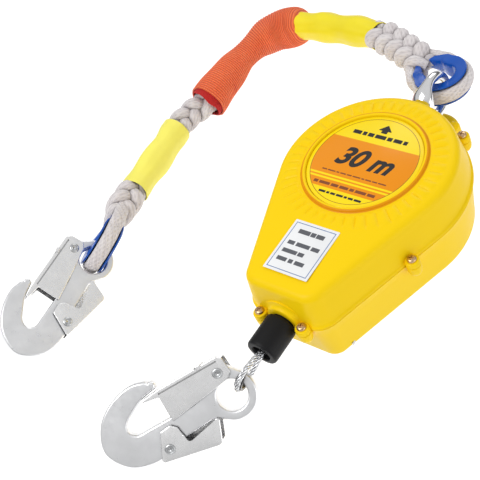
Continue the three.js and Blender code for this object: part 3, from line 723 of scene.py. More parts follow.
def wall_rows(steps):
    """Rows at the grown outline, from (growth, height) pairs. A row is (distance, height)."""
    rows = []
    for grow, height in steps:
        points, around = teardrop(grow, OUTLINE_POINTS)
        order = np.argsort(around)
        distance = np.hypot(points[:, 0], points[:, 1])[order]
        rows.append((np.interp(THETA, around[order], distance, period=TAU), height))
    return rows


def front_rows():
    """The front cover: face, label ring, flutes, rounded edge, wall, lip and the inside."""
    rows = [(20.0, FACE_Z), (45.0, FACE_Z), (52.9, FACE_Z), (RING_INNER, 90.6), (53.5, 91.9),
            (53.9, 92.6), (54.6, 92.95), (55.6, 93.0), (56.6, 92.85), (57.2, 92.4), (RING_OUTER, 91.7),
            (57.8, 91.0), (58.4, 90.5)]
    start, face = 59.2, FACE_Z + 0.3
    edge, _ = wall_rows([(-FRONT_INSET - FRONT_EDGE, face)])[0]
    flute_end = 16.0 - 9.0 * np.exp(-((THETA + math.pi / 2) / 0.5) ** 2)
    ridge = np.abs(np.sin(THETA * FLUTES / 2)) ** 0.6 - 0.6
    for share in np.concatenate([np.linspace(0, 0.36, 20, endpoint=False), np.linspace(0.36, 1, 18)]):
        distance = start + (edge - start) * share
        out = distance - start
        window = smoothstep(1.0, 4.0, out) * (1 - smoothstep(flute_end, flute_end + 6.0, out))
        window = window * (1 - smoothstep(0.72, 0.98, share))
        rows.append((distance, face - DOME_DROP * share ** 2.2 + FLUTE_DEPTH * window * ridge))
    top = face - DOME_DROP
    steps = []
    for angle in np.linspace(0, math.pi / 2, 10)[1:]:
        steps.append((-FRONT_INSET - FRONT_EDGE + FRONT_EDGE * math.sin(angle),
                      top - FRONT_EDGE * (1 - math.cos(angle))))
    for share in (0.25, 0.5, 0.75, 1.0):
        steps.append((-FRONT_INSET * (1 - share) ** 1.3 - 0.1,
                      (top - FRONT_EDGE) * (1 - share) + 55.6 * share))
    seam = SEAM_Z + HALF_SEAM
    steps += [(0.25, 54.9), (0.9, 54.45), (1.4, 53.9), (LIP_OUT, 53.1), (1.5, 52.4), (1.1, seam),
              (-WALL, seam), (-WALL - 0.6, 66.0), (-WALL - 2.4, 80.0), (-WALL - 5.0, 85.4),
              (-WALL - 9.0, 86.8)]
    return rows + wall_rows(steps) + [(45.0, 86.9), (20.0, 86.9)]


def back_rows():
    """The back cover: flat back, rounded edge, wall, lip and the inside."""
    steps = []
    for angle in np.linspace(0, math.pi / 2, 9):
        steps.append((-BACK_INSET - BACK_EDGE + BACK_EDGE * math.sin(angle),
                      BACK_EDGE * (1 - math.cos(angle))))
    for share in (0.2, 0.4, 0.6, 0.8, 1.0):
        steps.append((-BACK_INSET * (1 - share) - 0.1, BACK_EDGE * (1 - share) + 48.4 * share))
    seam = SEAM_Z - HALF_SEAM
    steps += [(0.25, 49.1), (0.9, 49.55), (1.4, 50.1), (LIP_OUT, 50.9), (1.5, 51.6), (1.1, seam),
              (-WALL, seam), (-WALL - 1.5, 40.0), (-WALL - 5.4, 12.0), (-WALL - 8.0, 4.2),
              (-WALL - 12.0, 3.1)]
    return [(25.0, 0.0), (50.0, 0.0)] + wall_rows(steps) + [(50.0, 3.0), (25.0, 3.0)]


def cover_shell(name, rows, first_tip, last_tip):
    """A closed shell from rows of (distance, height) between two poles on the centre line."""
    rings = []
    for row in rows:
        distance, height = (np.broadcast_to(value, THETA.shape) for value in row)
        rings.append(np.column_stack([distance * np.cos(THETA), distance * np.sin(THETA), height]))
    builder = Builder().tube(np.array(rings), along=np.arange(len(rings)) * 1.0, caps=False)
    builder.pole(0, ANGLES, (0, 0, first_tip), True)
    builder.pole((len(rings) - 1) * ANGLES, ANGLES, (0, 0, last_tip), False)
    return solid(name, builder)


def screw_places():
    """Three screws beside the right half of the outline, each with its mirror image."""
    normal = np.array([math.cos(FLANK_ANGLE), math.sin(FLANK_ANGLE)])
    top = normal * ROUND_RADIUS
    bottom = np.array([CORNER_X, CORNER_Y]) + normal * CORNER_RADIUS
    shoulder = math.radians(58.5)
    right = [
        (22.5, END_Y - SCREW_OUT),
        top + (bottom - top) * 0.28 + normal * SCREW_OUT,
        ((ROUND_RADIUS + SCREW_OUT) * math.cos(shoulder), (ROUND_RADIUS + SCREW_OUT) * math.sin(shoulder)),
    ]
    return [(side * x, y) for x, y in right for side in (1, -1)]


def boss_tool(x, y, front):
    """The solid round boss that a cover screw goes through."""
    if front:
        low, top = SEAM_Z + HALF_SEAM, 57.9
        profile = [(ON_AXIS, low), (6.1, low), (6.5, low + 0.5), (6.4, top - 1.4), (6.0, top - 0.5),
                   (5.2, top), (ON_AXIS, top)]
    else:
        low, top = 40.0, SEAM_Z - HALF_SEAM
        profile = [(ON_AXIS, low), (3.2, low), (4.6, low + 1.0), (5.8, low + 3.2), (6.4, low + 6.0),
                   (6.5, top - 0.5), (6.1, top), (ON_AXIS, top)]
    turn = turns(40)
    rings = [np.column_stack([x + r * np.cos(turn), y + r * np.sin(turn), np.full(len(turn), h)])
             for r, h in profile]
    return made_object("boss_tool", Builder().tube(np.array(rings)))


def collar_tool(front):
    """Half of the collar round the rope outlet."""
    profile = [(10.6, -153.4), (15.2, -153.4), (16.3, -153.0), (16.9, -152.1), (17.4, -150.9),
               (18.6, -149.9), (21.5, -149.2), (21.5, -146.6), (10.6, -146.6)]
    start, end = (0.6, 179.4) if front else (180.6, 359.4)
    return made_object("collar_tool", turned(profile, (0, 0, WIRE_Z), "y", 48, start, end))


def hood_tools():
    """The shroud behind the swivel: a tongue on the back and two cheeks beside the collar."""
    outline = np.vstack([
        arc(0, 97.5, 24, 0, 180, 36),
        rounded([(-24, 96, 0), (-25, 86, 12), (-36, 73, 8), (-28, 64, 2), (28, 64, 2), (36, 73, 8),
                 (25, 86, 12), (24, 96, 0)]),
    ])
    tongue = raise_mesh(plate("hood_tongue", outline, 13.5, 6.0, resolution=5), 18.0)
    section = rounded([(-33, 8, 10), (33, 8, 10), (31.5, 48.5, 4), (-31.5, 48.5, 4)], 8)
    upright = Matrix(((1, 0, 0), (0, 0, -1), (0, 1, 0))).to_4x4()
    cheeks = move_mesh(plate("hood_cheeks", section, 18.0, 4.5, resolution=5),
                       Matrix.Translation((0, 82.5, 0)) @ upright)
    return tongue, cheeks


def bore_tool(radius, start, end, z, steps=48):
    profile = [(ON_AXIS, start), (radius, start), (radius, end), (ON_AXIS, end)]
    return made_object("bore_tool", turned(profile, (0, 0, z), "y", steps))


def covers():
    front = cover_shell("front_cover_shell", front_rows(), FACE_Z, 86.9)
    back = cover_shell("back_cover_shell", back_rows(), 0.0, 3.0)
    for tool in hood_tools():
        boolean(back, tool, "UNION")
    boolean(back, bore_tool(HOOD_BORE, HOOD_FACE_Y, 130, SWIVEL_Z, 96), "DIFFERENCE")
    boolean(back, bore_tool(NUT_ROOM, 50, 76.5, SWIVEL_Z), "DIFFERENCE")
    for cover, is_front in ((front, True), (back, False)):
        boolean(cover, collar_tool(is_front), "UNION")
        for x, y in screw_places():
            boolean(cover, boss_tool(x, y, is_front), "UNION")
        boolean(cover, bore_tool(OUTLET_BORE, -170, -140, WIRE_Z), "DIFFERENCE")
        boolean(cover, bore_tool(STEM_BORE, 76, 100, SWIVEL_Z), "DIFFERENCE")
    finish_piece(front, "casing_yellow", "housing", ["front_cover"], 30)
    finish_piece(back, "casing_yellow", "housing", ["back_cover"], 30)


# ---------------- Label, sticker and cover screws ----------------


def print_lines(name, slot, look, low, height, lines):
    """Lines of small bars that stand for print: (y, left, right, bar height, gap, bar widths)."""
    builder = Builder()
    for y, left, right, tall, gap, widths in lines:
        x = left
        for width in itertools.cycle(widths):
            if x + width > right:
                break
            builder.box((x, y - tall / 2, low), (x + width, y + tall / 2, low + height))
            x += width + gap
    build(name, builder, slot, "housing", look=look)


def label_number(top):
    text = bpy.data.curves.new("label_number", "FONT")
    text.body = "30 m"
    text.size = 27.5 * MM
    text.extrude = 0.04 * MM
    text.shear = 0.32
    text.offset = 1.0 * MM
    text.align_x = "CENTER"
    obj = new_object("label_number_curve", text)
    obj.location = (0.0, -8.5 * MM, (top + 0.02) * MM)
    mesh = evaluated_mesh(obj)
    mesh.transform(obj.matrix_world)
    bpy.data.objects.remove(obj)
    finish_piece(new_object("label_number", mesh), "label_print", "housing", look="print_ink")


def round_label():
    top = 91.1
    profile = [(ON_AXIS, 90.3), (52.4, 90.3), (52.8, 90.6), (52.75, 90.95), (52.5, top), (ON_AXIS, top)]
    build("round_label_film", turned(profile, steps=160), "label_print", "housing", ["round_label"])
    label_number(top)
    print_lines("label_lines_dark", "label_print", "print_ink", top, 0.06, [
        (29.0, -29, 30, 4.2, 1.6, (8.5, 4.0, 6.0, 11.0, 5.0)),
        (-41.6, -22, 23, 2.3, 1.2, (7.0, 3.0, 5.0))])
    arrow = rounded([(0, 43.5, 0.4), (-7, 36.5, 0.4), (-3, 36.5, 0.2), (-3, 33.6, 0.2), (3, 33.6, 0.2),
                     (3, 36.5, 0.2), (7, 36.5, 0.4)])
    mark = raise_mesh(plate("label_mark", arrow, 0.05, 0.01), top + 0.03)
    finish_piece(mark, "label_print", "housing", look="print_ink")
    print_lines("label_lines_brown", "label_print", "print_brown", top, 0.06, [
        (-18.6, -33, 34, 1.3, 1.1, (5.0, 8.0, 3.0, 6.0)),
        (-32.8, -33, 34, 3.0, 1.5, (4.5, 11.0, 7.5, 9.0))])


def sticker():
    y, half = -103.0, 0.17
    bottom = FACE_Z + 0.35
    film = bottom + 2 * half
    sheet = plate("sticker_sheet", oblong(-23, 23, y - 27, y + 27, 0.8), half, 0.08)
    finish_piece(raise_mesh(sheet, bottom + half), "sticker_white", "housing", ["inspection_sticker"])
    border = Builder()
    for side in (1, -1):
        edge_y, edge_x = y + side * 24.2, side * 20.3
        border.box((-20.6, edge_y - 0.4, film), (20.6, edge_y + 0.4, film + 0.05))
        border.box((edge_x - 0.4, y - 24.6, film + 0.001), (edge_x + 0.4, y + 24.6, film + 0.051))
    build("sticker_border", border, "sticker_white", "housing", look="print_blue")
    print_lines("sticker_lines", "sticker_white", "print_grey", film, 0.06, [
        (y + 16.5, -13.5, 14.5, 4.4, 0.8, (12.0, 5.0, 8.0)),
        (y + 3.5, -16.5, 17.5, 4.0, 1.8, (7.0, 14.0, 8.0)),
        (y - 5.2, -16.5, 9.0, 4.0, 1.2, (15.0, 6.0)),
        (y - 14.0, -16.5, 15.0, 4.0, 2.0, (10.0, 4.5, 9.5))])


def cut_box(obj, low, high):
    boolean(obj, made_object("box_tool", Builder().box(low, high)), "DIFFERENCE")


def cover_screws():
    """Pan heads with a cross slot, each turned by its own angle."""
    seat = SCREW_SEAT_Z
    profile = [(ON_AXIS, 44.3), (1.6, 44.3), (2.0, 45.0), (2.0, seat), (3.9, seat), (4.2, seat + 0.3),
               (4.15, seat + 1.2), (3.8, seat + 1.95), (3.0, seat + 2.45), (1.8, seat + 2.72),
               (ON_AXIS, seat + 2.8)]
    slot_length, slot_width = 2.3, 0.45
    for i, (x, y) in enumerate(screw_places()):
        screw = solid(f"cover_screw_head_{i + 1}", turned(profile, steps=40))
        for a, b in ((slot_length, slot_width), (slot_width, slot_length)):
            cut_box(screw, (-a, -b, seat + 1.3), (a, b, seat + 4))
        turn = Matrix.Rotation(math.radians(23 + 41 * i), 4, "Z")
        move_mesh(screw, Matrix.Translation((x, y, 0)) @ turn)
        finish_piece(screw, "screw_brass", "housing", [f"cover_screw_{i + 1}"])


# ---------------- Strands, eyes and thimbles ----------------


def add_strand(builder, path, radius, cols, hint=(0, 0, 1), relief=None):
    """A round strand. Its radius may vary along it, and relief adds a height per (along, turn)."""
    turn = turns(cols)
    along = length_along(path)
    radius = np.broadcast_to(np.asarray(radius, float), along.shape)[:, None]
    if relief is not None:
        radius = radius + relief(along[:, None], turn[None])
    frames = carried_frames(path, hint)
    builder.tube(rings_round(path, frames, radius * np.cos(turn), radius * np.sin(turn)), along)


def laid(builder, path, hint=(0, 0, 1)):
    """A wire rope: strands laid in a helix round one more strand as the core."""
    normal, binormal = carried_frames(path, hint)
    along = length_along(path)
    for k in range(WIRE_STRANDS):
        phase = TAU * (along / WIRE_LAY + k / WIRE_STRANDS)
        side = np.cos(phase)[:, None] * normal + np.sin(phase)[:, None] * binormal
        add_strand(builder, path + WIRE_HELIX * side, WIRE_STRAND, 12, hint)
    add_strand(builder, path, WIRE_STRAND, 12, hint)


def yarn_relief(yarns, slope, height):
    """Crossing yarns of a woven strand cover."""
    def relief(along, turn):
        one = np.sin(yarns * turn + slope * along)
        two = np.sin(yarns * turn - slope * along)
        return height * np.maximum(one, two)
    return relief


def plait(builder, path, swing, rise, strand, pitch, hint, grow):
    """Three strands plaited along a path. grow scales them by the share of the way along."""
    normal, binormal = carried_frames(path, hint)
    along = length_along(path)
    scale = grow(along / along[-1])
    for k in range(3):
        phase = TAU * (along / pitch + k / 3)
        side = (swing * scale * np.sin(phase))[:, None] * normal
        lift = (rise * scale * np.sin(2 * phase))[:, None] * binormal
        swell = 1 + 0.08 * np.sin(2 * phase + 0.7)
        add_strand(builder, path + side + lift, strand * scale * swell, STRAND_COLS, hint,
                   yarn_relief(10, 0.42, 0.16))


def placement(origin, main, rough_normal):
    """Origin and axes x, y, z of a flat eye whose rope leaves along main."""
    x = unit(main)
    z = np.asarray(rough_normal, float)
    z = unit(z - z.dot(x) * x)
    return np.asarray(origin, float), x, np.cross(z, x), z


def in_place(place, local):
    origin, x, y, z = place
    local = np.asarray(local, float)
    return origin + local[:, :1] * x + local[:, 1:2] * y + local[:, 2:3] * z


def eye_line(radius, legs):
    """Up one leg of an eye, round it and back along the other leg."""
    middle = arc(0, 0, radius, 62, 298, 12)
    back = [(x, -y) for x, y in reversed(legs)]
    return [(x, y, 0) for x, y in (*legs, *middle, *back)]


def thimble(place, radius, legs, drop, inner, wall, flange, height, count, flare):
    """A channel swept round an eye, open to the outside where the rope lies in it."""
    path = in_place(place, spline(eye_line(radius, legs)[drop:-drop], count))
    z = place[3]
    lip, out, bottom = inner - height, inner + flange, inner + wall
    outer_side = [(-out - flare, lip + 0.5), (-out - 0.4 * flare, lip + 0.4 * height),
                  (-out, inner + 0.2 * wall), (-out + 0.8, bottom - 0.5), (-out + 2.2, bottom)]
    inner_side = [(-inner + 1.6, inner), (-inner + 0.4, inner - 0.6), (-inner, inner - 1.8),
                  (-inner - 0.4 * flare, lip + 0.4 * height), (-inner - flare, lip + 0.4),
                  (-inner - flare - 0.5 * flange, lip - 0.1)]
    section = outer_side + [(0.0, bottom + 0.15)] + [(-a, b) for a, b in reversed(outer_side)]
    section += [(-a, b) for a, b in reversed(inner_side)] + inner_side
    across, deep = np.array(section).T
    share = np.linspace(0, 1, count)
    ends = smoothstep(0.0, 0.22, np.minimum(share, 1 - share))[:, None]
    deep = deep - np.minimum(deep - inner, 0) * (1 - ends) * 0.85
    across = across * (0.62 + 0.38 * ends)
    rings = rings_round(path, (np.cross(z, tangents(path)), z[None]), deep, across)
    return Builder().tube(rings, length_along(path))


def rope_eye(builder, place):
    """The rope round its thimble: wider on its outer side, and thinner towards the splice."""
    path = in_place(place, spline(eye_line(EYE_RADIUS - 0.8, ROPE_LEGS), steps_for(250)))
    frames = carried_frames(path, place[3])
    outward = np.sign(np.einsum("ij,ij->i", path - path.mean(axis=0), frames[1]))[:, None]
    turn = turns(STRAND_COLS + 16)
    along = length_along(path)
    share = np.linspace(0, 1, len(path))
    relief = yarn_relief(12, 0.40, 0.16)(along[:, None], turn[None])
    waist = (0.9 * smoothstep(0.16, 0.0, np.minimum(share, 1 - share)))[:, None]
    bulge = 1.3 * smoothstep(-0.2, 0.7, outward * np.sin(turn))
    across = (6.7 + bulge - waist + relief) * np.cos(turn)
    deep = (6.3 - waist + relief) * np.sin(turn)
    builder.tube(rings_round(path, frames, across, deep), along)


def double_wall(outer, inner, tip, tail):
    """A tube with thickness: its outer and inner rings, joined by a rounded lip at each open end."""
    first = (outer[:1] + inner[:1]) / 2 + tip
    last = (outer[-1:] + inner[-1:]) / 2 + tail
    rings = np.concatenate([outer, last, inner[::-1], first])
    return Builder().tube(rings, along=np.arange(len(rings)) * 1.0, closed=True)


def ripples(along, turn, girth, wave, seed=0.0):
    """Smooth noise over a tube, one row for each place along it."""
    rows = []
    for place in along:
        rows.append([noise.noise(Vector((girth * math.cos(t), girth * math.sin(t), place / wave + seed)))
                     for t in turn])
    return np.array(rows)


# ---------------- Where the eyes and hooks hang ----------------


def hook_axes(axis, lean_degrees):
    """Across, along and out of a hook's plate, which leans about its own long axis."""
    lean = math.radians(lean_degrees)
    up = np.array([0.0, 0.0, 1.0])
    up = unit(up - axis[2] * axis)
    side = unit(np.cross(axis, up))
    u = side * math.cos(lean) - up * math.sin(lean)
    return u, axis, np.cross(u, axis)


UPPER_DIRECTION = unit([-0.87, 0.48, -0.1])
UPPER_EYE = placement((0.0, SWIVEL_RING_Y + SWIVEL_RING, SWIVEL_Z) + 4.1 * UPPER_DIRECTION,
                      UPPER_DIRECTION, (0, 0, 1))
ANCHOR_AXES = hook_axes(unit([-0.1, 0.995, 0]), 45)
LINE_AXES = hook_axes(unit([0.6, 0.79, 0.12]), 45)
WALL_CENTRE = (EYE_HOLE + EYE_OUTER) / 2
LOWER_DIRECTION = unit([-0.36, 0.92, -0.13])
LOWER_EYE = placement(ANCHOR_EYE + WALL_CENTRE * ANCHOR_AXES[1] + 3.0 * LOWER_DIRECTION,
                      LOWER_DIRECTION, ANCHOR_AXES[0])
CONTACT = unit(LINE_AXES[1] * LINE_AXES[1][1] + LINE_AXES[0] * LINE_AXES[0][1])
LOOP_NORMAL = np.cross(CONTACT, LINE_AXES[2])
LINE_EYE = np.array([0, LOOP_Y - 1.2, WIRE_Z]) - WALL_CENTRE * CONTACT
LOOP_PLACE = placement((0, LOOP_Y, WIRE_Z), (0, 1, 0), math.cos(LOOP_TURN) * LOOP_NORMAL
                       + math.sin(LOOP_TURN) * np.cross((0, 1, 0), -LOOP_NORMAL))


# ---------------- Lanyard: rope, sleeves and energy absorber ----------------


def shrink_sleeve(name, path, body, node, seed, look=None):
    """Heat-shrink tube over the plait: it follows the bulges of the rope, open at both ends."""
    along = length_along(path)
    share = along / along[-1]
    turn = turns(96)
    frames = carried_frames(path)
    bulge = 1.0 + 0.07 * np.sin(TAU * along / 46.0 + seed) + 0.05 * np.sin(math.pi * share)
    taper = 1.0 - 0.06 * smoothstep(0.14, 0.0, np.minimum(share, 1 - share))
    oval = (1.0 - 0.10 * np.sin(math.pi * share))[:, None]
    wrinkle = ripples(along, turn, 2.2, 26, seed)

    def skin(offset):
        r = (SLEEVE_RADIUS * bulge * taper)[:, None] + 0.9 * wrinkle + offset
        return rings_round(path, frames, r * np.cos(turn), r * oval * np.sin(turn))

    tube = double_wall(skin(0.0), skin(-SLEEVE_WALL), -0.5 * unit(path[1] - path[0]),
                       0.5 * unit(path[-1] - path[-2]))
    build(name, tube, "shrink_yellow", body, [node], 60, look)


def rope_thimble(name, place, body, node):
    build(name, thimble(place, **ROPE_THIMBLE), "thimble_blue", body, [node], 50)


def upper_lanyard():
    start = in_place(UPPER_EYE, [(54, 0, 0)])[0]
    toward = unit(np.subtract(UPPER_BEND, (-176, 196, 34)))
    line = [start, (-112, 187, 45), (-176, 196, 34), UPPER_BEND - 3.6 * toward]
    builder = Builder()
    rope_eye(builder, UPPER_EYE)
    lead = in_place(UPPER_EYE, [(31, 0, 0), (42, 0, 0)])
    plait(builder, spline([*lead, *line[:3]], steps_for(190)), swing=9.4, rise=6.2, strand=8.0,
          pitch=58.0, hint=(-0.3, -0.56, -0.04),
          grow=lambda s: 0.72 + 0.28 * smoothstep(0.0, 0.10, s) - 0.30 * smoothstep(0.56, 0.66, s))
    build("rope_upper_plait", builder, "rope_grey", "lanyard_upper", ["rope_upper"], 60)
    rope_thimble("thimble_upper_eye", UPPER_EYE, "lanyard_upper", "thimble_upper")
    trunk = spline(line, steps_for(240))
    covered = trunk[int(0.34 * len(trunk)):int(0.985 * len(trunk))]
    shrink_sleeve("shrink_sleeve_upper_tube", covered, "lanyard_upper", "shrink_sleeve_upper", 3.0)


def absorber_cover(path, turn):
    """Ribbed cloth cover: closed round the rope above, open below."""
    along = length_along(path)
    share = along / along[-1]
    frames = carried_frames(path)
    girth = np.interp(share, [0.0, 0.02, 0.06, 0.16, 0.32, 0.44, 0.54, 0.68, 0.84, 1.0],
                      [14.5, 18.6, 21.0, 22.6, 21.0, 14.6, 14.4, 18.8, 21.2, 21.4])
    blur = len(path) // 24 * 2 + 1
    girth = np.convolve(np.pad(girth, blur // 2, mode="edge"), np.ones(blur) / blur, mode="valid")
    girth -= 3.0 * smoothstep(0.03, 0.0, share)
    oval = np.interp(share, [0, 0.2, 0.5, 0.8, 1.0], [0.95, 0.92, 0.86, 0.90, 0.94])[:, None]
    coarse = ripples(along, turn[::4], 1.6, 30)
    rumple = np.array([np.interp(turn, np.append(turn[::4], TAU), np.append(row, row[0])) for row in coarse])
    ribs = np.sin(TAU * along / RIB_PITCH)[:, None]

    def skin(offset, rib_height):
        r = girth[:, None] + 1.7 * rumple + rib_height * ribs + offset
        return rings_round(path, frames, r * np.cos(turn), r * oval * np.sin(turn))

    rings = np.concatenate([skin(0.0, RIB_HEIGHT), skin(-1.5, 0.0)[::-6]])
    tube = Builder().tube(rings, along=np.concatenate([along, along[::-6]]), closed=True)
    cover = build("absorber_cover", tube, "absorber_orange", None, ["absorber_sleeve"], 75)
    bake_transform(cover)


def absorber_lining(path, turn):
    """The red lining, which hangs out of the cover's open end."""
    frames = carried_frames(path)
    end = unit(path[-1] - path[-2])
    fall = (np.linspace(0, 1, len(path)) ** 6)[:, None, None]

    def hem(offset, stretch):
        r = 19.0 + offset + 0.5 * np.sin(3 * turn + 1.0)
        drop = stretch * (0.5 + 0.5 * np.sin(turn + 2.4)) ** 2 + 0.7 * np.sin(5 * turn) + 1.2
        rings = rings_round(path, frames, (r * np.cos(turn))[None], (0.93 * r * np.sin(turn))[None])
        return rings + fall * drop[None, :, None] * end

    outer, inner = hem(0.2, 7.5), hem(-1.3, 6.6)
    rolled = outer[-1:] * 0.5 + inner[-1:] * 0.5 + 0.7 * end
    rings = np.concatenate([outer, rolled, inner[::-1]])
    lining = Builder().tube(rings, along=np.arange(len(rings)) * 1.0, closed=True)
    build("absorber_lining", lining, "absorber_orange", "lanyard_middle", (), 60, "absorber_lining_red")


def absorber_webbing(path):
    """The folded webbing inside, which tears out when it stops a fall."""
    folds, pitch, half_thick, half_wide = 4, 3.4, 1.5, 7.6
    frames = carried_frames(path)
    along = length_along(path)
    builder = Builder()
    for k in range(folds):
        level = (k - (folds - 1) / 2) * pitch
        across, deep = oblong(level - half_thick, level + half_thick, -half_wide, half_wide, 1.2, 3).T
        wave = 0.35 * np.sin(along / 4.0 + k)
        builder.tube(rings_round(path, frames, across + wave[:, None], deep), along)
    build("absorber_webbing", builder, "webbing_white", "lanyard_middle", ["absorber_core"], 50)


def absorber():
    path = spline(ABSORBER_LINE, COVER_POINTS)
    turn = turns(COVER_COLS)
    absorber_cover(path, turn)
    absorber_lining(path[int(0.80 * len(path)):], turn)
    absorber_webbing(spline(ABSORBER_LINE[2:6], 120))


def lower_lanyard():
    start = in_place(LOWER_EYE, [(54, 0, 0)])[0]
    line = [(-275, 92, 19.5), (-276, 68.4, 18.5), (-284, 48, 18), (-285, 28, 18), (-281, -6, 18),
            (-278, -46, 18), start]
    lead = in_place(LOWER_EYE, [(42, 0, 0), (31, 0, 0)])
    builder = Builder()
    plait(builder, spline([*line, *lead], steps_for(260)), swing=9.2, rise=6.0, strand=7.7,
          pitch=54.0, hint=(0.77, 0, -0.64),
          grow=lambda s: 0.88 - 0.18 * smoothstep(0.28, 0.36, s) + 0.30 * smoothstep(0.70, 0.80, s)
          - 0.34 * smoothstep(0.88, 1.0, s))
    rope = build("rope_lower_plait", builder, "rope_grey", None, ["rope_lower"], 60)
    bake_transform(rope)
    eye = Builder()
    rope_eye(eye, LOWER_EYE)
    build("rope_lower_eye", eye, "rope_grey", "lanyard_lower", (), 60)
    rope_thimble("thimble_lower_eye", LOWER_EYE, "lanyard_lower", "thimble_lower")
    count = 400
    covered = spline(line[1:], count)[int(0.26 * count):int(0.82 * count)]
    shrink_sleeve("shrink_sleeve_lower_tube", resample(covered, steps_for(110)), "lanyard_lower",
                  "shrink_sleeve_lower", 1.2, "shrink_pale")


# ---------------- Wire rope, its eye, ferrule, stopper and the winding on the drum ----------------


def wire_parts():
    builder = Builder()
    laid(builder, in_place(LOOP_PLACE, spline(eye_line(LOOP_RADIUS, WIRE_LEGS), 220)), LOOP_PLACE[3])
    laid(builder, np.array([(0, y, WIRE_Z) for y in np.linspace(LOOP_Y + 42, -91, 70)]))
    build("wire_rope_strands", builder, "wire_steel", "cable", ["wire_rope_line"], 60)
    build("wire_thimble_channel", thimble(LOOP_PLACE, **WIRE_THIMBLE), "wire_steel", "cable",
          ["wire_thimble"], 50, "thimble_dark_steel")
    on_line = (0, 0, WIRE_Z)
    ferrule = [(5.9, -182), (7.6, -182), (8.2, -181), (8.2, -167.6), (7.6, -166.6), (5.9, -166.6)]
    build("rope_ferrule_sleeve", turned(ferrule, on_line, "y"), "drum_aluminium", "cable",
          ["rope_ferrule"])
    stopper = [(2.9, -155.5), (12.2, -155.5), (13.6, -155.9), (14.4, -157.0), (14.5, -158.4),
               (14.5, -184.6), (14.3, -186.4), (13.5, -187.6), (12.2, -188), (9.6, -188), (8.9, -187.4),
               (8.6, -186.2), (8.6, -165.2), (2.9, -165.2)]
    build("rubber_stopper_body", turned(stopper, on_line, "y", 96), "black_rubber", "cable",
          ["rubber_stopper"])


def winding():
    """The rope wound on the drum, as one ring with a round ridge for each turn of rope."""
    ridges, low, high = 9, 23.8, 68.2
    inner, outer = 24.3, 68.0
    width = (high - low) / ridges
    profile = [(inner, low + 0.1), (outer, low + 0.1)]
    for k in range(ridges):
        for angle in np.radians(np.linspace(-80, 80, 9)):
            profile.append((69.9 + 2.45 * math.cos(angle),
                            low + width * (k + 0.5) + 2.42 * math.sin(angle)))
    profile += [(outer, high - 0.1), (inner, high - 0.1)]
    build("wire_rope_winding", turned(profile, (0, DRUM_Y, 0), "z", 180), "wire_steel", "drum",
          ["wire_rope_coil"], 60)


# ---------------- Swivel eye ----------------


def swivel():
    """Forged eye that swells into its collar, with a turned stem."""
    around, turn = turns(120), turns(40)
    low = 0.5 - 0.5 * np.cos(around)
    radial = np.column_stack([np.zeros(120), np.cos(around), np.sin(around)])
    centre = np.array([0, SWIVEL_RING_Y, SWIVEL_Z]) + SWIVEL_RING * radial
    tube = SWIVEL_WIRE + 3.2 * smoothstep(0.62, 1.0, low)
    wide = tube + 3.6 * smoothstep(0.45, 0.95, low)
    rings = rings_round(centre, (radial, np.array([[1.0, 0, 0]])), tube[:, None] * np.cos(turn),
                        wide[:, None] * np.sin(turn))
    foot = SWIVEL_RING_Y - SWIVEL_RING + SWIVEL_WIRE
    y = rings[..., 1]
    near_foot = (np.abs(rings[..., 2] - SWIVEL_Z) < 12) & (y > foot) & (y < SWIVEL_RING_Y)
    rings[..., 1] = np.where(near_foot, np.minimum(y, foot + 1.2), y)
    eye = solid("swivel_forging", Builder().tube(rings, closed=True))
    stem = [(ON_AXIS, 62.5), (7.4, 62.5), (8.0, 63.2), (8.0, 80.2), (11.0, 80.4), (11.8, 81.2),
            (11.8, 84.0), (11.2, 85.0), (10.2, 86.4), (8.6, 89.0), (7.0, 92.6), (ON_AXIS, 93)]
    boolean(eye, made_object("stem_tool", turned(stem, (0, 0, SWIVEL_Z), "y", 64)), "UNION")
    remesh = eye.modifiers.new("remesh", "REMESH")
    remesh.mode = "VOXEL"
    remesh.voxel_size = 0.55 * MM
    smooth = eye.modifiers.new("smooth", "SMOOTH")
    smooth.factor = 0.6
    smooth.iterations = 6
    settle(eye)
    finish_piece(eye, "swivel_steel", "swivel", ["swivel_eye"], 50)


# ---------------- Snap hooks, drawn with the eye at the origin and the bowl towards -Y ----------------


def body_outline():
    """The forged body: eye, shoulder, throat, tip, bowl and spine."""
    bowl = spline([(17, -62), (18, -88), (11, -107), (-9, -119.5), (-31, -111), (-44, -93),
                   (-48.5, -72), (-44.8, -56.5)], 60)
    throat = spline([(-9.2, -80), (-9.6, -87), (-15, -92.4), (-22, -90), (-28.3, -80), (-33.4, -69),
                     (-36, -56)], 40)
    tip = rounded([(-44.8, -56.5, 1.6), (-40.5, -51.5, 2.4), (-36.2, -53.6, 1.4), (-36, -60, 0)])[1:-1]
    eye = arc(0, 0, EYE_OUTER + 0.9, -28, 124, 60)
    shoulder = rounded([(-16, 12.5, 0), (-21.5, 9.5, 5), (-28, 4, 5), (-29.3, -5, 7), (-24, -14, 6),
                        (-12, -22, 9), (-9.2, -31, 8), (-9.2, -60, 0)])[1:]
    spine = rounded([(17, -62, 0), (11.8, -52, 8), (11, -36, 10), (10, -22, 8), (17.6, -9.8, 0)])[1:-1]
    return np.vstack([eye, shoulder, throat, tip[::-1], bowl[::-1][1:-1], spine])


def channel(name, outline, slot, half):
    """Folded sheet: a full-width plate with the middle cut out, leaving two cheeks and a web."""
    obj = plate(name, outline, half, SHEET_BEVEL)
    fix_normals(obj.data)
    return boolean(obj, plate("slot_tool", slot, half - SHEET, 0.02, resolution=0), "DIFFERENCE")


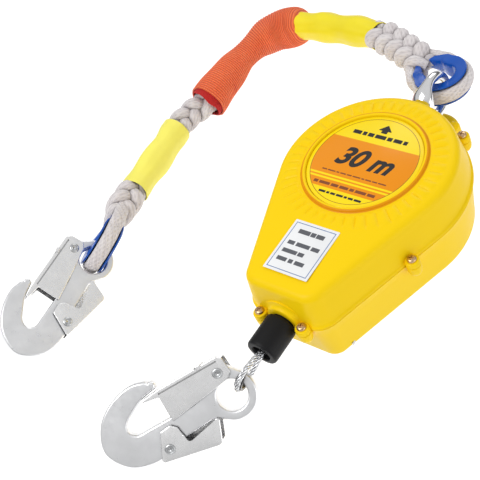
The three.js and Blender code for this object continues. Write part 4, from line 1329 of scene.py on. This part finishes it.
def gate_mesh(name):
    """The gate, with a seam groove along each cheek, a notch and a thumb stud."""
    outline = rounded([(-34.6, 4.5, 3.2), (-31, 8.6, 2.5), (-17.5, 9.6, 3.0), (-13.4, 3.5, 3.0),
                       (-9.3, -26, 6), (-5.6, -54, 0.9), (-28.4, -54, 1.0), (-30.6, -68, 1.2),
                       (-33.0, -68.6, 1.0), (-34.6, -52, 2.0)])
    slot = [(-32.4, 2), (-30.5, 14), (0, 14), (0, -62), (-30.2, -62), (-32.4, -50)]
    gate = channel(name, outline, slot, GATE_HALF)
    for side in (1, -1):
        low, high = sorted((side * (GATE_HALF - SEAM_DEPTH), side * (GATE_HALF + 1)))
        cut_box(gate, (-31.7, -53.0, low), (-30.5, 3.0, high))
    cut_box(gate, (-36, -16.6, -9), (-33.9, -14.8, 9))
    stud = plate("stud", oblong(-35.8, -32.0, -14.6, -10.0, 0.8), GATE_HALF + 1.0, 0.7)
    return boolean(gate, stud, "UNION")


def lever_mesh(name):
    """The locking lever, with one cheek cut away beside the gate."""
    outline = rounded([(11.4, -18.4, 1.5), (29.6, -26.0, 2.6), (30.6, -29.4, 2.0), (21.4, -77, 1.6),
                       (18.6, -78.6, 1.2), (-3, -67.8, 2.4), (-4, -57.8, 3.0), (0.4, -53, 3.0),
                       (8.0, -52.0, 0), (9.8, -20.5, 1.2)])
    slot = [(0, -10), (24, -10), (29, -30), (20, -76), (19.4, -82), (-20, -82), (-20, -45), (0, -45)]
    lever = channel(name, outline, slot, LEVER_HALF)
    notch = plate("notch_tool", rounded([(1.0, -52.8, 0), (14.8, -50.7, 3.4), (15.8, -47.6, 2.4),
                                         (10.3, -21.5, 0), (2.0, -21.5, 0)]), 6.0, 0.02, resolution=0)
    return boolean(lever, raise_mesh(notch, 6.6), "DIFFERENCE")


def rivet(centre, half):
    """A peened rivet through both cheeks, with a ring groove and a centre mark in each head."""
    top = half + 0.15
    face = [(ON_AXIS, top + 0.75), (0.7, top + 0.8), (1.1, top + 1.15), (2.2, top + 1.25),
            (2.6, top + 0.85), (3.0, top + 0.85), (3.3, top + 1.05), (4.1, top + 0.8), (4.5, top + 0.3),
            (4.5, top)]
    profile = [(r, -h) for r, h in face] + [(3.0, -top), (3.0, top)] + face[::-1]
    return turned(profile, (*centre, 0), "z", 48)


def hook(prefix, axes, eye):
    """One snap hook: body, gate, lever and two rivets, placed by its axes and its eye's centre."""
    place = Matrix(np.column_stack(axes)).to_4x4()
    place.translation = Vector(eye)
    hole = arc(0, 0, EYE_HOLE, 0, 360, 48)[:-1][::-1]
    body = plate(f"{prefix}_hook_forging", body_outline(), HALF_BODY, 1.9, [hole], 6)
    finish_piece(move_mesh(body, place), "hook_steel", f"{prefix}_hook", [f"{prefix}_hook_body"], 42)
    for part, maker in (("gate", gate_mesh), ("lever", lever_mesh)):
        obj = move_mesh(maker(f"{prefix}_{part}_channel"), place)
        finish_piece(obj, "gate_steel", f"{prefix}_{part}", [f"{prefix}_hook_{part}"], 34)
    for part, centre, half in (("gate", GATE_PIVOT, GATE_HALF), ("lever", LEVER_PIVOT, LEVER_HALF)):
        head = made_object(f"{prefix}_{part}_rivet_head", rivet(centre, half))
        finish_piece(move_mesh(head, place), "rivet_steel", f"{prefix}_hook", [f"{prefix}_{part}_rivet"])


# ---------------- Studio: pale floor, soft lights and the camera ----------------


def floor():
    bpy.ops.mesh.primitive_plane_add(size=14, location=(0, 0, -0.33))
    plane = bpy.context.object
    plane.name = "studio_floor"
    white = (1, 1, 1)
    Shader("studio_white", (0.93, 0.93, 0.93), 0.9, Emission_Strength=0.3, Emission_Color=white)
    plane.data.materials.append(MATERIAL["studio_white"])


def sky():
    """Grey bands by height for reflections, and plain white where the camera sees past the floor."""
    world = bpy.data.worlds.new("studio_world")
    bpy.context.scene.world = world
    world.use_nodes = True
    nodes = Nodes(world.node_tree)
    height = nodes.parts(nodes.wire("ShaderNodeTexCoord", "Generated", {}))[2]
    bands = nodes.wire("ShaderNodeValToRGB", 0, {0: height})
    ramp = bands.socket.node.color_ramp
    ramp.elements[0].color = (0.12, 0.12, 0.125, 1)
    ramp.elements[1].position = 0.75
    for place, level in ((0.18, 0.2), (0.38, 1.0), (0.62, 0.85)):
        ramp.elements.new(place).color = (level, level, level, 1)
    seen = nodes.wire("ShaderNodeLightPath", "Is Camera Ray", {})
    background = world.node_tree.nodes["Background"]
    nodes.plug(background.inputs["Color"], nodes.mix(seen, bands, (1.25, 1.25, 1.25)))
    nodes.plug(background.inputs["Strength"], 0.72)


def lamps():
    target = Vector((-0.08, 0.0, 0.03))
    for name, place, size, power in (("key", (-0.5, -0.9, 1.6), 0.9, 14), ("fill", (1.6, 0.0, 0.2), 1.0, 5),
                                     ("rim", (-0.4, 1.5, 1.0), 1.0, 5)):
        light = bpy.data.lights.new(name, "AREA")
        light.size = size
        light.energy = power
        lamp = new_object(name, light)
        lamp.location = place
        lamp.rotation_euler = (target - Vector(place)).to_track_quat("-Z", "Y").to_euler()


def camera():
    lens = bpy.data.cameras.new("camera")
    lens.sensor_width = 36
    lens.angle = math.radians(24.63)
    right, up, back = (0.759, 0.5536, -0.3426), (-0.2655, 0.7437, 0.6135), (0.5944, -0.3747, 0.7115)
    turn = Matrix((right, up, back)).transposed().to_4x4()
    turn.translation = Vector((0.5060, -0.4704, 0.7680))
    holder = new_object("camera", lens)
    holder.matrix_world = turn
    bpy.context.scene.camera = holder


materials()
covers()
round_label()
sticker()
cover_screws()
upper_lanyard()
absorber()
lower_lanyard()
wire_parts()
winding()
swivel()
hook("anchor", ANCHOR_AXES, ANCHOR_EYE)
hook("line", LINE_AXES, LINE_EYE)
floor()
sky()
lamps()
camera()
bpy.context.scene.view_settings.view_transform = "Standard"

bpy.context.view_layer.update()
